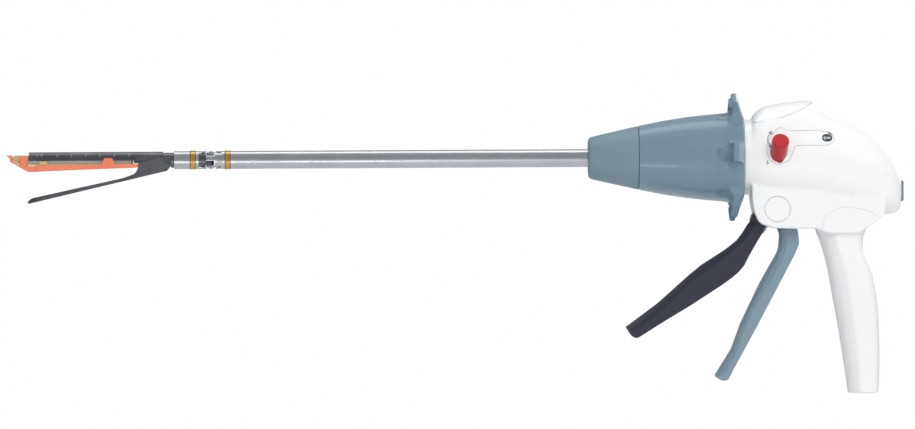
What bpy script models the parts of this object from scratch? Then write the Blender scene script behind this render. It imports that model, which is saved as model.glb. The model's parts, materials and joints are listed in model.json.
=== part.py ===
"""Endoscopic linear stapler: pistol handle, rotating nozzle, articulating shaft and stapling jaw.

The frame: origin at the middle of the grip's flat butt face, +X toward the user, +Z up.
The jaws point along -X. Lengths are in metres.
"""

import bpy
import bmesh
from math import asin, cos, pi, radians, sin, tan
from mathutils import Matrix, Vector

MM = 0.001

# Clearances
GAP = 0.3 * MM
FINE_GAP = 0.1 * MM

# Shaft
AXIS_Z = 165.5 * MM
TUBE_R = 6.25 * MM
TUBE_WALL = 0.6 * MM
TUBE_BORE = TUBE_R - TUBE_WALL
TUBE_FRONT_X = -481.5 * MM
WINDOW_FRONT_X = -464.3 * MM
WINDOW_REAR_X = -448.3 * MM
JOINT_X = (WINDOW_FRONT_X + WINDOW_REAR_X) / 2
RING_WIDTH = 2.8 * MM
RING_HEIGHT = 0.35 * MM
RING_INSET = 2.8 * MM
SPINE_BORE = 3.9 * MM
SPINE_REAR_X = -142.0 * MM
ROD_R = 2.0 * MM
CLOSURE_STROKE = 1.2 * MM

# Articulation joint, its levels measured up or down from the shaft axis
SPINE_R = TUBE_BORE - 0.25 * MM
STEM_R = SPINE_R - 0.1 * MM
FLAT_LEVEL = 4.8 * MM
SPINE_EAR_LEVEL = 3.9 * MM
STEM_EAR_LEVEL = 3.8 * MM
EAR_R = 2.6 * MM
EAR_PIN_R = 1.0 * MM
EAR_REACH = 3.2 * MM
LINK_PIN_R = 0.8 * MM
LINK_HALF = 1.1 * MM
LINK_THICKNESS = 0.4 * MM
LINK_LEVEL = FLAT_LEVEL + LINK_THICKNESS / 2 + 0.05 * MM
LINK_PIN_OFFSET = (WINDOW_REAR_X - WINDOW_FRONT_X) / 2 - 2.2 * MM

# Jaw
STAPLE_LINE = 60.0 * MM
PIVOT_X = -487.4 * MM
PIVOT_DROP = 1.5 * MM
CHANNEL_FRONT_X = -582.9 * MM
CHANNEL_R = 6.0 * MM
CHANNEL_WALL = 0.9 * MM
CHANNEL_DEPTH = 3.8 * MM
CARTRIDGE_REAR_X = -511.5 * MM
DECK_HALF = 5.6 * MM
DECK_DROP = 3.3 * MM
DECK_THICKNESS = 1.2 * MM
PAN_WALL = 0.3 * MM
KNIFE_HALF = 0.45 * MM
KNIFE_REAR_X = -507.0 * MM
ANVIL_HALF = 5.9 * MM
EAR_WALL = 1.5 * MM
CLIP_HALF = 7.0 * MM
ANVIL_PIN_R = 1.1 * MM
BLOCK_HALF = 4.2 * MM
BLOCK_FRONT_X = CARTRIDGE_REAR_X + 2.0 * MM
RECESS_TOP = 3.0 * MM
EAR_CAVITY_HALF = ANVIL_HALF - EAR_WALL
KNIFE_FRONT_X = -514.5 * MM

# Firing strip, its levels measured from the shaft axis
BAND_LOW = 0.0
BAND_HIGH = 2.6 * MM
BAND_SLOT_HALF = 0.8 * MM
BAND_REAR_X = -386.0 * MM

# Nozzle
NOZZLE_FRONT_X = -192.0 * MM
NOZZLE_SEAM_X = -157.1 * MM
NOZZLE_BORE = TUBE_R + 0.4 * MM
NOZZLE_FLOOR_X = NOZZLE_FRONT_X + 3.0 * MM
HUB_R = 9.5 * MM
HUB_FLANGE_R = 14.0 * MM
HUB_FLANGE = 3.0 * MM
FIN_COUNT = 6
FIN_TIP_R = 46.8 * MM
FIN_ROOT_R = 32.2 * MM
FIN_TIP_HALF_ANGLE = 8.3
FIN_PHASE = 4.7
SCOOP_R = 9.5 * MM
SCOOP_X = -98.7 * MM
SCOOP_LEVEL = 38.3 * MM
LIP_R = 19.7 * MM
LIP_WALL = 1.4 * MM
LIP_REAR_X = -152.0 * MM

# Handle
NECK_FRONT_X = -97.0 * MM
HOUSING_WALL = 2.2 * MM
BODY_HALF = 20.0 * MM

# Handle form in millimetres. Barrel: x, middle height, half width, top, bottom
BARREL_STATIONS = [
    (-79.0, 165.5, 26.3, 191.8, 139.2), (-76.5, 165.3, 26.6, 195.2, 138.0),
    (-70.2, 165.0, 27.0, 200.3, 136.0), (-62.0, 164.5, 27.0, 202.3, 134.0),
    (-49.4, 164.0, 27.0, 204.0, 133.0), (-37.0, 163.5, 26.8, 204.9, 132.0),
    (-32.5, 163.0, 26.6, 203.3, 131.0), (-26.9, 161.5, 26.3, 199.0, 129.5),
    (-17.3, 159.5, 25.8, 192.9, 127.5), (-5.2, 156.5, 25.0, 187.7, 125.5),
    (6.9, 153.0, 23.5, 181.3, 124.5), (14.8, 150.0, 21.5, 174.1, 124.8),
    (21.3, 147.0, 18.5, 166.0, 125.6), (25.0, 144.0, 14.5, 158.0, 127.5),
    (26.7, 142.0, 10.5, 152.0, 130.5)]
# Grip: height, front x, rear x, half width, and its half section as shares of length and width
GRIP_STATIONS = [
    (0.0, -10.4, 8.4, 12.6), (1.6, -11.2, 10.3, 13.8), (20.0, -13.6, 11.2, 14.6),
    (46.6, -17.7, 10.9, 15.0), (67.6, -21.5, 9.3, 15.0), (88.5, -25.2, 5.1, 15.0),
    (103.0, -29.0, 0.0, 15.6), (113.0, -33.0, 1.4, 17.0), (124.0, -40.0, 8.0, 18.6)]
GRIP_HALF_SECTION = [
    (0.0, 0.0), (0.02, 0.3), (0.09, 0.58), (0.22, 0.8), (0.42, 1.0), (0.8, 1.0), (0.94, 0.85),
    (1.0, 0.42), (1.0, 0.0)]
# Body block seen from the side: x, height, corner radius
BODY_OUTLINE = [
    (-78.3, 150.0, 0.1), (-78.3, 135.5, 3.0), (-76.8, 127.0, 8.0), (-73.0, 118.5, 9.0),
    (-60.0, 115.6, 20.0), (-44.0, 115.2, 0.1), (-33.0, 115.4, 0.1), (-25.0, 112.0, 0.1),
    (-4.0, 112.0, 0.1), (4.0, 117.0, 6.0), (14.0, 125.0, 4.0), (16.0, 136.0, 0.1), (8.0, 150.0, 0.1)]
# Screw posts: x, height, half length
SCREW_PLACES = [(-2.0, 22.0, 12.5), (-7.0, 88.0, 13.0), (15.5, 154.0, 19.4)]

# Triggers
TRIGGER_SLOT_HALF = 9.0 * MM
TRIGGER_X = -60.6 * MM
TRIGGER_Z = 129.1 * MM
TRIGGER_HALF = 8.0 * MM
TRIGGER_PIN_R = 2.5 * MM
HUB_HALF = 3.0 * MM
CHEEK_Z = 115.0 * MM
PIVOT_CAP_R = 8.8 * MM
# Their side outlines in millimetres: x, height, corner radius
CLOSING_OUTLINE = [
    (-66.5, 131.0, 6.0), (-63.0, 136.0, 6.0), (-56.0, 136.0, 6.0), (-53.0, 128.0, 6.0),
    (-47.0, 119.0, 3.0), (-45.6, 112.5, 4.0), (-44.8, 105.0, 6.0), (-48.3, 96.9, 20.0),
    (-75.6, 45.5, 20.0), (-91.3, 17.2, 8.0), (-95.0, 9.8, 2.5), (-99.0, 9.2, 2.5),
    (-104.6, 12.4, 2.0), (-92.3, 32.0, 20.0), (-86.0, 49.5, 20.0), (-72.4, 77.5, 20.0),
    (-59.2, 100.5, 14.0), (-58.4, 112.0, 8.0), (-61.5, 119.0, 3.0)]
FIRING_OUTLINE = [
    (-68.8, 129.1, 5.0), (-64.0, 136.5, 5.0), (-57.0, 136.5, 5.0), (-52.6, 129.1, 5.0),
    (-57.0, 121.0, 4.0), (-64.5, 114.6, 3.0), (-72.0, 109.0, 8.0), (-79.5, 99.0, 12.0),
    (-92.0, 81.5, 20.0), (-119.7, 62.9, 20.0), (-141.1, 50.1, 20.0), (-157.0, 40.2, 2.5),
    (-160.5, 38.6, 3.0), (-166.4, 47.2, 1.5), (-144.0, 63.6, 20.0), (-121.1, 83.9, 20.0),
    (-112.6, 90.7, 20.0), (-91.1, 105.0, 14.0), (-83.6, 113.0, 4.0), (-81.0, 117.6, 1.5),
    (-79.2, 119.6, 1.5), (-77.6, 126.0, 3.0)]

# Drive
RACK_HALF = 2.2 * MM
RACK_REAR_X = 14.0 * MM
RACK_FRONT_X = -74.0 * MM
TOOTH_MODULE = 1.25 * MM
ADDENDUM = 0.85 * TOOTH_MODULE
DEDENDUM = 1.1 * TOOTH_MODULE
GEAR_TEETH = 16
GEAR_X = -20.0 * MM
PITCH_DROP = 3.0 * MM
GEAR_R = TOOTH_MODULE * GEAR_TEETH / 2
GEAR_Z = AXIS_Z - PITCH_DROP - GEAR_R
ROOT_SHARE = 0.27
TIP_SHARE = 0.115
PLATE_Y = 10.5 * MM
PLATE_HALF = 0.6 * MM
ARBOR_R = 2.0 * MM
ARBOR_HALF = PLATE_Y + 3.0 * MM
PLATE_OUTLINE = [
    (-72, 138), (-30, 138), (10, 136), (10, 160), (-10, 176), (-19, 184), (-44, 184), (-52, 176),
    (-72, 176)]
OVERRIDE_PIVOT = (-38.0 * MM, 180.0 * MM)

# Controls
WINDOW_CENTRE = (-26.0 * MM, 178.6 * MM)
WINDOW_HALF = (3.7 * MM, 2.6 * MM)
SWITCH_BASE = Vector((-59.4, -26.0, 168.0)) * MM
SWITCH_CAP = Vector((-57.6, -37.2, 177.6)) * MM
SWITCH_R = 5.9 * MM
SWITCH_STEM_R = 2.4 * MM
SWITCH_TRAVEL = 4.0 * MM
BUTTON_Z = 141.6 * MM
BUTTON_HALF = (5.5 * MM, 7.3 * MM)
BUTTON_REAR_X = 28.7 * MM
BUTTON_LENGTH = 10.7 * MM
BAR_FRONT_X = -46.0 * MM
BAR_HALF = 3.0 * MM

# Colour, roughness and metallic value of each material
WHITE = ((0.88, 0.89, 0.90), 0.35, 0.0)
GREY_BLUE = ((0.19, 0.27, 0.32), 0.4, 0.0)
NAVY = ((0.045, 0.048, 0.075), 0.4, 0.0)
STEEL = ((0.52, 0.54, 0.56), 0.3, 1.0)
DARK_STEEL = ((0.13, 0.135, 0.15), 0.45, 0.8)
GOLD = ((0.72, 0.42, 0.08), 0.3, 1.0)
SALMON = ((0.95, 0.27, 0.16), 0.4, 0.0)
TAN = ((0.62, 0.50, 0.27), 0.5, 0.0)
RED = ((0.70, 0.02, 0.05), 0.35, 0.0)
GREY = ((0.35, 0.36, 0.38), 0.5, 0.0)
CLEAR = ((0.75, 0.80, 0.82), 0.1, 0.0)

model = None
cutters = None


def clear_scene():
    for old in list(bpy.data.objects):
        bpy.data.objects.remove(old, do_unlink=True)


def new_collection(name):
    collection = bpy.data.collections.new(name)
    bpy.context.scene.collection.children.link(collection)
    return collection


def finish_material(obj, colour, roughness, metallic=0.0):
    """One Principled material, named after the object, with the colour that the piece has."""
    material = bpy.data.materials.new(obj.name)
    material.use_nodes = True
    shader = material.node_tree.nodes["Principled BSDF"]
    shader.inputs["Base Color"].default_value = (*colour, 1.0)
    shader.inputs["Roughness"].default_value = roughness
    shader.inputs["Metallic"].default_value = metallic
    obj.data.materials.clear()
    obj.data.materials.append(material)


def new_object(name, mesh, collection=None):
    obj = bpy.data.objects.new(name, mesh)
    (collection or model).objects.link(obj)
    return obj


def evaluated_mesh(obj):
    bpy.context.view_layer.update()
    graph = bpy.context.evaluated_depsgraph_get()
    return bpy.data.meshes.new_from_object(obj.evaluated_get(graph))


def weld(mesh, merge=1e-6):
    """Weld the loose caps and seams of a single skin and point its faces outward."""
    work = bmesh.new()
    work.from_mesh(mesh)
    bmesh.ops.remove_doubles(work, verts=work.verts, dist=merge)
    bmesh.ops.recalc_face_normals(work, faces=work.faces)
    work.to_mesh(mesh)
    work.free()


def bake(obj, loose_seams=False):
    """Turn a curve or an object with modifiers into a plain mesh object in world space."""
    mesh = evaluated_mesh(obj)
    mesh.transform(obj.matrix_world)
    if loose_seams:
        weld(mesh)
    name = obj.name
    collection = obj.users_collection[0]
    bpy.data.objects.remove(obj, do_unlink=True)
    return new_object(name, mesh, collection)


def as_cutter(obj):
    """Keep a tool body out of the model: wire display, no render, in the cutters collection."""
    for collection in obj.users_collection:
        collection.objects.unlink(obj)
    cutters.objects.link(obj)
    obj.hide_render = True
    obj.display_type = "WIRE"
    return obj


def combine(target, others, operation):
    for other in others:
        modifier = target.modifiers.new(operation.title() + " " + other.name, "BOOLEAN")
        modifier.operation = operation
        modifier.solver = "EXACT"
        modifier.object = as_cutter(other)
    return target


def cut(target, *tools):
    return combine(target, tools, "DIFFERENCE")


def join(target, *parts):
    return combine(target, parts, "UNION")


def keep(target, *regions):
    return combine(target, regions, "INTERSECT")


def copy_of(obj, name):
    twin = new_object(name, obj.data.copy())
    twin.matrix_world = obj.matrix_world
    return twin


def place_origin(obj, point):
    """Put the object's origin on its joint without moving its surface."""
    obj.data.transform(Matrix.Translation(-Vector(point)))
    obj.location = point
    return obj


def done(obj, finish, origin=None, smooth_angle=35):
    if obj.type == "MESH":
        if origin is not None:
            place_origin(obj, origin)
        obj.data.shade_smooth()
        obj.data.set_sharp_from_angle(angle=radians(smooth_angle))
    finish_material(obj, *finish)
    return obj


def box(name, low, high):
    """A block between two opposite corners."""
    work = bmesh.new()
    bmesh.ops.create_cube(work, size=1.0)
    size = [abs(b - a) for a, b in zip(low, high)]
    middle = [(a + b) / 2 for a, b in zip(low, high)]
    bmesh.ops.scale(work, vec=size, verts=work.verts)
    bmesh.ops.translate(work, vec=middle, verts=work.verts)
    mesh = bpy.data.meshes.new(name)
    work.to_mesh(mesh)
    work.free()
    return new_object(name, mesh)


def mirrored_box(name, low, high):
    """Two blocks, one on each side of the middle plane, as one object."""
    work = bmesh.new()
    for side in (-1, 1):
        cube = bmesh.ops.create_cube(work, size=1.0)["verts"]
        size = [b - a for a, b in zip(low, high)]
        middle = [(a + b) / 2 for a, b in zip(low, high)]
        middle[1] *= side
        bmesh.ops.scale(work, vec=size, verts=cube)
        bmesh.ops.translate(work, vec=middle, verts=cube)
    mesh = bpy.data.meshes.new(name)
    work.to_mesh(mesh)
    work.free()
    return new_object(name, mesh)


def rod(name, start, end, radius, sides=16, end_radius=None):
    """A round bar or cone between two points."""
    start, end = Vector(start), Vector(end)
    work = bmesh.new()
    bmesh.ops.create_cone(work, cap_ends=True, segments=sides, radius1=radius,
                          radius2=radius if end_radius is None else end_radius,
                          depth=(end - start).length)
    turn = (end - start).to_track_quat("Z", "Y").to_matrix().to_4x4()
    bmesh.ops.transform(work, matrix=Matrix.Translation((start + end) / 2) @ turn, verts=work.verts)
    mesh = bpy.data.meshes.new(name)
    work.to_mesh(mesh)
    work.free()
    return new_object(name, mesh)


def ball(name, centre, radius):
    """A sphere for hollowing a finger rest."""
    work = bmesh.new()
    bmesh.ops.create_uvsphere(work, u_segments=10, v_segments=8, radius=radius)
    bmesh.ops.translate(work, vec=centre, verts=work.verts)
    mesh = bpy.data.meshes.new(name)
    work.to_mesh(mesh)
    work.free()
    return new_object(name, mesh)


def turned(name, profile, sides=28, height=AXIS_Z):
    """Revolve (x, radius) points about the shaft axis. A profile off the axis is closed into a ring."""
    mesh = bpy.data.meshes.new(name)
    points = [(x, 0.0, r) for x, r in profile]
    edges = [(i, i + 1) for i in range(len(points) - 1)]
    if profile[0][1] > 0 and profile[-1][1] > 0:
        edges.append((len(points) - 1, 0))
    mesh.from_pydata(points, edges, [])
    obj = new_object(name, mesh)
    obj.location.z = height
    screw = obj.modifiers.new("Turn", "SCREW")
    screw.axis = "X"
    screw.steps = sides
    screw.render_steps = sides
    screw.use_merge_vertices = True
    screw.merge_threshold = 1e-6
    return bake(obj, loose_seams=True)


def sleeve(name, start_x, end_x, outer, inner, sides=24):
    return turned(name, [(start_x, outer), (end_x, outer), (end_x, inner), (start_x, inner)], sides)


def rounded(points, radius, arc_step=34):
    """Replace each corner of a closed outline by an arc. A corner may carry its own radius."""
    result = []
    count = len(points)
    for i, point in enumerate(points):
        corner = Vector(point[:2])
        reach = point[2] if len(point) > 2 else radius
        before = Vector(points[i - 1][:2]) - corner
        after = Vector(points[(i + 1) % count][:2]) - corner
        half = before.angle(after) / 2
        setback = min(reach / tan(half), before.length * 0.45, after.length * 0.45)
        if setback < 1e-6 or half > radians(87):
            result.append(tuple(corner))
            continue
        first = corner + before.normalized() * setback
        last = corner + after.normalized() * setback
        steps = max(1, round((180 - 2 * half * 180 / pi) / arc_step))
        for step in range(steps + 1):
            t = step / steps
            result.append(tuple(first * (1 - t) ** 2 + corner * 2 * t * (1 - t) + last * t ** 2))
    return result


def stadium(half_length, half_width, centre, steps=6):
    """Outline of a slot with round ends, long along X."""
    points = []
    for side in (1, -1):
        for i in range(steps + 1):
            turn = -pi / 2 + pi * i / steps
            points.append((centre[0] + side * (half_length - half_width + half_width * cos(turn)),
                           centre[1] + side * half_width * sin(turn)))
    return points


def prism(name, outline, half_width, middle_y=0.0, plane="XZ"):
    """A flat outline, filled and extruded to both sides of its plane."""
    curve = bpy.data.curves.new(name, "CURVE")
    curve.dimensions = "2D"
    curve.fill_mode = "BOTH"
    curve.extrude = half_width
    spline = curve.splines.new("POLY")
    spline.points.add(len(outline) - 1)
    spline.use_cyclic_u = True
    for point, place in zip(spline.points, outline):
        point.co = (place[0], place[1], 0.0, 1.0)
    obj = new_object(name, curve)
    if plane == "XZ":
        obj.matrix_world = Matrix.Translation((0, middle_y, 0)) @ Matrix.Rotation(pi / 2, 4, "X")
    elif plane == "YZ":
        turn = Matrix(((0, 0, 1, 0), (1, 0, 0, 0), (0, 1, 0, 0), (0, 0, 0, 1)))
        obj.matrix_world = Matrix.Translation((middle_y, 0, 0)) @ turn
    else:
        obj.matrix_world = Matrix.Translation((0, 0, middle_y))
    return bake(obj, loose_seams=True)


def loft(name, rings):
    """Skin unlike closed sections with the same number of points and cap both ends."""
    work = bmesh.new()
    loops = [[work.verts.new(point) for point in ring] for ring in rings]
    count = len(rings[0])
    for near, far in zip(loops, loops[1:]):
        for i in range(count):
            j = (i + 1) % count
            work.faces.new((near[i], near[j], far[j], far[i]))
    work.faces.new(loops[0])
    work.faces.new(loops[-1])
    bmesh.ops.recalc_face_normals(work, faces=work.faces)
    mesh = bpy.data.meshes.new(name)
    work.to_mesh(mesh)
    work.free()
    return new_object(name, mesh)


def bevelled(obj, width, segments=2, angle=40):
    """Round the sharp edges of a plain mesh."""
    modifier = obj.modifiers.new("Round", "BEVEL")
    modifier.width = width
    modifier.segments = segments
    modifier.limit_method = "ANGLE"
    modifier.angle_limit = radians(angle)
    return bake(obj)


def coil(name, start_x, end_x, radius, wire, turns, middle=(0.0, None), per_turn=8):
    """A helical spring along X."""
    curve = bpy.data.curves.new(name, "CURVE")
    curve.dimensions = "3D"
    curve.bevel_depth = wire
    curve.bevel_resolution = 0
    curve.use_fill_caps = True
    spline = curve.splines.new("POLY")
    steps = turns * per_turn
    spline.points.add(steps)
    centre_z = AXIS_Z if middle[1] is None else middle[1]
    for i, point in enumerate(spline.points):
        turn = 2 * pi * i / per_turn
        x = start_x + wire + (end_x - start_x - 2 * wire) * i / steps
        point.co = (x, middle[0] + radius * cos(turn), centre_z + radius * sin(turn), 1.0)
    return bake(new_object(name, curve), loose_seams=True)


def at_axis(points):
    """Outline points given in mm from the shaft axis, as metres in the model's frame."""
    return [(x * MM, AXIS_Z + z * MM, *(r * MM for r in radius)) for x, z, *radius in points]


def about_axis(degrees):
    """Rotation about the shaft's axis."""
    to_axis = Matrix.Translation((0, 0, AXIS_Z))
    return to_axis @ Matrix.Rotation(radians(degrees), 4, "X") @ to_axis.inverted()


def arch(radius, top, low, steps=5):
    """The cross-section of a round-topped channel: (y, z) points from one foot over to the other."""
    limit = asin(min(1.0, top / radius))
    right = [(radius * cos(limit * i / steps), radius * sin(limit * i / steps)) for i in range(steps + 1)]
    right.insert(0, (radius, low))
    if top >= radius:
        right.pop()
    left = [(-y, z) for y, z in reversed(right)]
    crown = [(0.0, radius)] if top >= radius else []
    return [(y, AXIS_Z + z) for y, z in right + crown + left]


def arch_bar(name, start_x, end_x, radius, top, low):
    return prism(name, arch(radius, top, low), (end_x - start_x) / 2, (start_x + end_x) / 2, "YZ")


def upright_pin(name, x, low, high, radius, sides=12):
    return rod(name, (x, 0, AXIS_Z + low), (x, 0, AXIS_Z + high), radius, sides)


def cross_pin(name, x, z, half_length, radius, sides=16):
    return rod(name, (x, -half_length, z), (x, half_length, z), radius, sides)


def level_box(name, start_x, end_x, half, low, high):
    """A block centred on the middle plane, its heights measured from the shaft axis."""
    return box(name, (start_x, -half, AXIS_Z + low), (end_x, half, AXIS_Z + high))


def eye(name, x, toward, low, high, radius):
    """A flat lug round an upright pin at x that reaches to the point toward."""
    steps = 8
    side = 1 if toward > x else -1
    outline = [(toward, -radius)]
    for i in range(steps + 1):
        turn = -pi / 2 - pi * i / steps if side > 0 else -pi / 2 + pi * i / steps
        outline.append((x + radius * cos(turn), radius * sin(turn)))
    outline.append((toward, radius))
    return prism(name, outline, (high - low) / 2, AXIS_Z + (low + high) / 2, "XY")


def make_channel():
    """Upper jaw: a round-backed channel for the cartridge, a slotted block and a stem into the tube."""
    skirt = PIVOT_DROP + 0.5 * MM
    body = arch_bar("cartridge_channel", CHANNEL_FRONT_X, PIVOT_X - 2 * MM, CHANNEL_R, CHANNEL_R, -0.1 * MM)
    rear = arch_bar("channel_rear", BLOCK_FRONT_X, PIVOT_X - 2.1 * MM, CHANNEL_R,
                    CHANNEL_R - 0.1 * MM, -skirt)
    stem = rod("stem", (PIVOT_X - 5 * MM, 0, AXIS_Z), (JOINT_X - EAR_REACH, 0, AXIS_Z), STEM_R, 24)
    ears = eye("stem_ear", JOINT_X, JOINT_X - EAR_REACH - 1 * MM, -STEM_EAR_LEVEL, STEM_EAR_LEVEL, EAR_R)
    join(body, rear, stem, ears)
    bore = CHANNEL_R - CHANNEL_WALL
    cavity = arch_bar("channel_cavity", CHANNEL_FRONT_X - 1 * MM, BLOCK_FRONT_X, bore,
                      CHANNEL_DEPTH, -9 * MM)
    slot = level_box("channel_slot", BLOCK_FRONT_X - 1 * MM, JOINT_X + 4 * MM, BAND_SLOT_HALF,
                     BAND_LOW - 0.15 * MM, BAND_HIGH + 0.3 * MM)
    flats = [level_box("stem_flat", JOINT_X - 10 * MM, JOINT_X, 8 * MM, side * FLAT_LEVEL, side * 9 * MM)
             for side in (-1, 1)]
    ear_gap = level_box("stem_fork", JOINT_X - EAR_REACH + FINE_GAP, JOINT_X + 4 * MM, 4 * MM,
                        BAND_LOW - 0.4 * MM, BAND_HIGH + 0.4 * MM)
    sides = mirrored_box("ear_recess", (BLOCK_FRONT_X + 0.4 * MM, BLOCK_HALF, AXIS_Z - 9 * MM),
                         (PIVOT_X + 3.6 * MM, 9 * MM, AXIS_Z + RECESS_TOP))
    under = level_box("stem_relief", PIVOT_X - 8 * MM, PIVOT_X + 3.6 * MM, 9 * MM, -9 * MM, -4.4 * MM)
    hole = cross_pin("channel_pin_hole", PIVOT_X, AXIS_Z - PIVOT_DROP, 9 * MM, ANVIL_PIN_R + FINE_GAP)
    ear_hole = upright_pin("stem_ear_hole", JOINT_X, -6 * MM, 6 * MM, EAR_PIN_R + FINE_GAP)
    cut(body, cavity, slot, *flats, ear_gap, sides, under, hole, ear_hole)
    done(body, DARK_STEEL, (JOINT_X, 0, AXIS_Z))


def cartridge_tab(extra=0.0):
    return box("cartridge_tab", (-575.5 * MM - extra, -DECK_HALF - 0.3 * MM, AXIS_Z - DECK_DROP + 0.1 * MM),
               (-569.9 * MM + extra, DECK_HALF + 0.3 * MM, AXIS_Z - 0.4 * MM + extra))


def make_cartridge():
    """Moulded reload: deck with its knife slot and staple pockets, hollow below, in a sheet pan."""
    pan_r = CHANNEL_R - CHANNEL_WALL - FINE_GAP
    pan_top = CHANNEL_DEPTH - FINE_GAP
    body_r = pan_r - PAN_WALL - FINE_GAP
    body_top = pan_top - PAN_WALL - FINE_GAP
    pan_low = DECK_THICKNESS - DECK_DROP + GAP
    front_x = CHANNEL_FRONT_X - 0.5 * MM
    body = arch_bar("cartridge_body", front_x, CARTRIDGE_REAR_X, body_r, body_top, -DECK_DROP + 0.5 * MM)
    deck = level_box("deck", front_x, CARTRIDGE_REAR_X, DECK_HALF, -DECK_DROP, DECK_THICKNESS - DECK_DROP)
    nose = prism("nose", rounded(at_axis([(-594.4, 2.2), (-593.0, 3.8), (-583.0, 3.8), (-583.0, -3.3),
                                          (-588.0, -3.3), (-594.4, 0.3)]), 0.8 * MM), body_r - 0.1 * MM)
    join(body, deck, bevelled(nose, 0.8 * MM), cartridge_tab())
    cavity = level_box("cartridge_cavity", CHANNEL_FRONT_X + 0.6 * MM, CARTRIDGE_REAR_X + 1 * MM, 3.3 * MM,
                       -0.6 * MM, 6 * MM)
    slot = level_box("knife_slot", KNIFE_FRONT_X - STAPLE_LINE - 2 * MM, CARTRIDGE_REAR_X + 1 * MM,
                     KNIFE_HALF + 0.25 * MM, -5 * MM, 0)
    cut(body, cavity, slot)
    done(body, TAN)
    pan = arch_bar("cartridge_pan", CHANNEL_FRONT_X + 0.6 * MM, CARTRIDGE_REAR_X - 1 * MM, pan_r,
                   pan_top, pan_low)
    hollow = arch_bar("pan_hollow", CHANNEL_FRONT_X - 1 * MM, CARTRIDGE_REAR_X + 1 * MM, pan_r - PAN_WALL,
                      pan_top - PAN_WALL, -9 * MM)
    cut(pan, hollow, cartridge_tab(GAP))
    done(pan, STEEL)


def make_knife():
    """Knife on its flexible strip, with the wedge sled ahead of it."""
    knife = prism("knife", at_axis([
        (-514.5, 3.0), (-510.0, 3.0), (-510.0, 2.6), (-507.2, 2.6), (-507.2, 0.0), (-510.0, 0.0),
        (-510.0, -3.1), (-512.8, -3.1), (-513.6, -1.0), (-512.2, 1.2), (-514.5, 1.6)]), KNIFE_HALF)
    done(knife, STEEL)
    strip = level_box("firing_strip", KNIFE_REAR_X, BAND_REAR_X, KNIFE_HALF, BAND_LOW, BAND_HIGH)
    done(strip, STEEL)
    wedge = at_axis([(-521.5, 2.9), (-515.0, 2.9), (-515.0, -0.3), (-516.6, -0.3)])
    sled = prism("wedge_sled", wedge, 3.0 * MM)
    grooves = [box("sled_groove", (-523 * MM, y - 0.35 * MM, AXIS_Z - 2 * MM),
                   (-515.6 * MM, y + 0.35 * MM, AXIS_Z + 2.2 * MM)) for y in (-1.6 * MM, 0, 1.6 * MM)]
    cut(sled, *grooves)
    done(sled, STEEL)


def make_anvil():
    """Lower jaw: a slim bar with a knife groove, and two ears that straddle the channel's block."""
    bar = at_axis([
        (-583.8, -30.1, 0.6), (-583.8, -28.6, 0.6), (-581.2, -26.2, 3.0), (-561.5, -21.8, 0.1),
        (-516.6, -12.2, 6.0), (-508.6, -9.2, 3.0), (-506.4, -4.7, 2.0), (-506.4, -1.5, 0.8),
        (-489.9, 2.0, 1.5), (-485.6, -2.0, 2.0), (-484.5, -4.7, 1.0), (-486.6, -7.4, 0.8),
        (-561.5, -24.8, 0.1)])
    anvil = prism("anvil", rounded(bar, 0.5 * MM), ANVIL_HALF)
    anvil = bevelled(anvil, 0.4 * MM, 1, 50)
    between = prism("ear_cavity", at_axis([(-513.0, 5.0), (-513.0, -7.3), (-482.0, -5.1), (-482.0, 5.0)]),
                    EAR_CAVITY_HALF)
    trough = at_axis([(-578.0, -26.6), (-561.5, -23.0), (-508.0, -11.6), (-508.0, -2.0), (-578.0, -18.0)])
    groove = prism("anvil_groove", trough, KNIFE_HALF + 0.35 * MM)
    hole = cross_pin("anvil_pin_hole", PIVOT_X, AXIS_Z - PIVOT_DROP, 9 * MM, ANVIL_PIN_R + FINE_GAP)
    cut(anvil, between, groove, hole)
    done(anvil, DARK_STEEL, (PIVOT_X, 0, AXIS_Z - PIVOT_DROP))
    pin = cross_pin("anvil_pin", PIVOT_X, AXIS_Z - PIVOT_DROP, ANVIL_HALF - 0.1 * MM, ANVIL_PIN_R)
    done(pin, STEEL)


def make_retainer():
    """Shipping retainer: a wedge under the deck with a nose strap and two spring clips."""
    wedge = at_axis([
        (-598.9, 3.8, 0.4), (-594.8, 3.8, 0.3), (-594.8, 0.1, 0.3), (-588.2, -3.7, 0.3),
        (-509.6, -3.7, 0.3), (-509.6, -4.6, 0.3), (-512.6, -4.9, 0.1), (-561.5, -6.9, 0.1),
        (-583.5, -7.8, 2.0), (-596.0, -0.5, 0.5), (-596.0, 1.5, 0.5)])
    plate = prism("staple_retainer", rounded(wedge, 0.3 * MM), 6.0 * MM)
    strap = mirrored_box("retainer_strap", (-589.0 * MM, 4.75 * MM, AXIS_Z - 5.0 * MM),
                         (-584.0 * MM, 5.9 * MM, AXIS_Z + 2.9 * MM))
    arms = at_axis([
        (-532.1, -4.9, 0.4), (-532.1, -3.2, 0.8), (-530.4, 1.5, 1.4), (-524.4, 1.5, 1.4),
        (-522.7, -3.2, 0.8), (-522.7, -4.9, 0.4)])
    clip = prism("retainer_clip", rounded(arms, 0.4 * MM), CLIP_HALF)
    seat = level_box("retainer_clip_seat", -534 * MM, -520 * MM, CLIP_HALF - 0.8 * MM, -3.95 * MM, 3 * MM)
    clip = bake(cut(clip, seat))
    join(plate, clip, strap)
    done(plate, SALMON)


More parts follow.
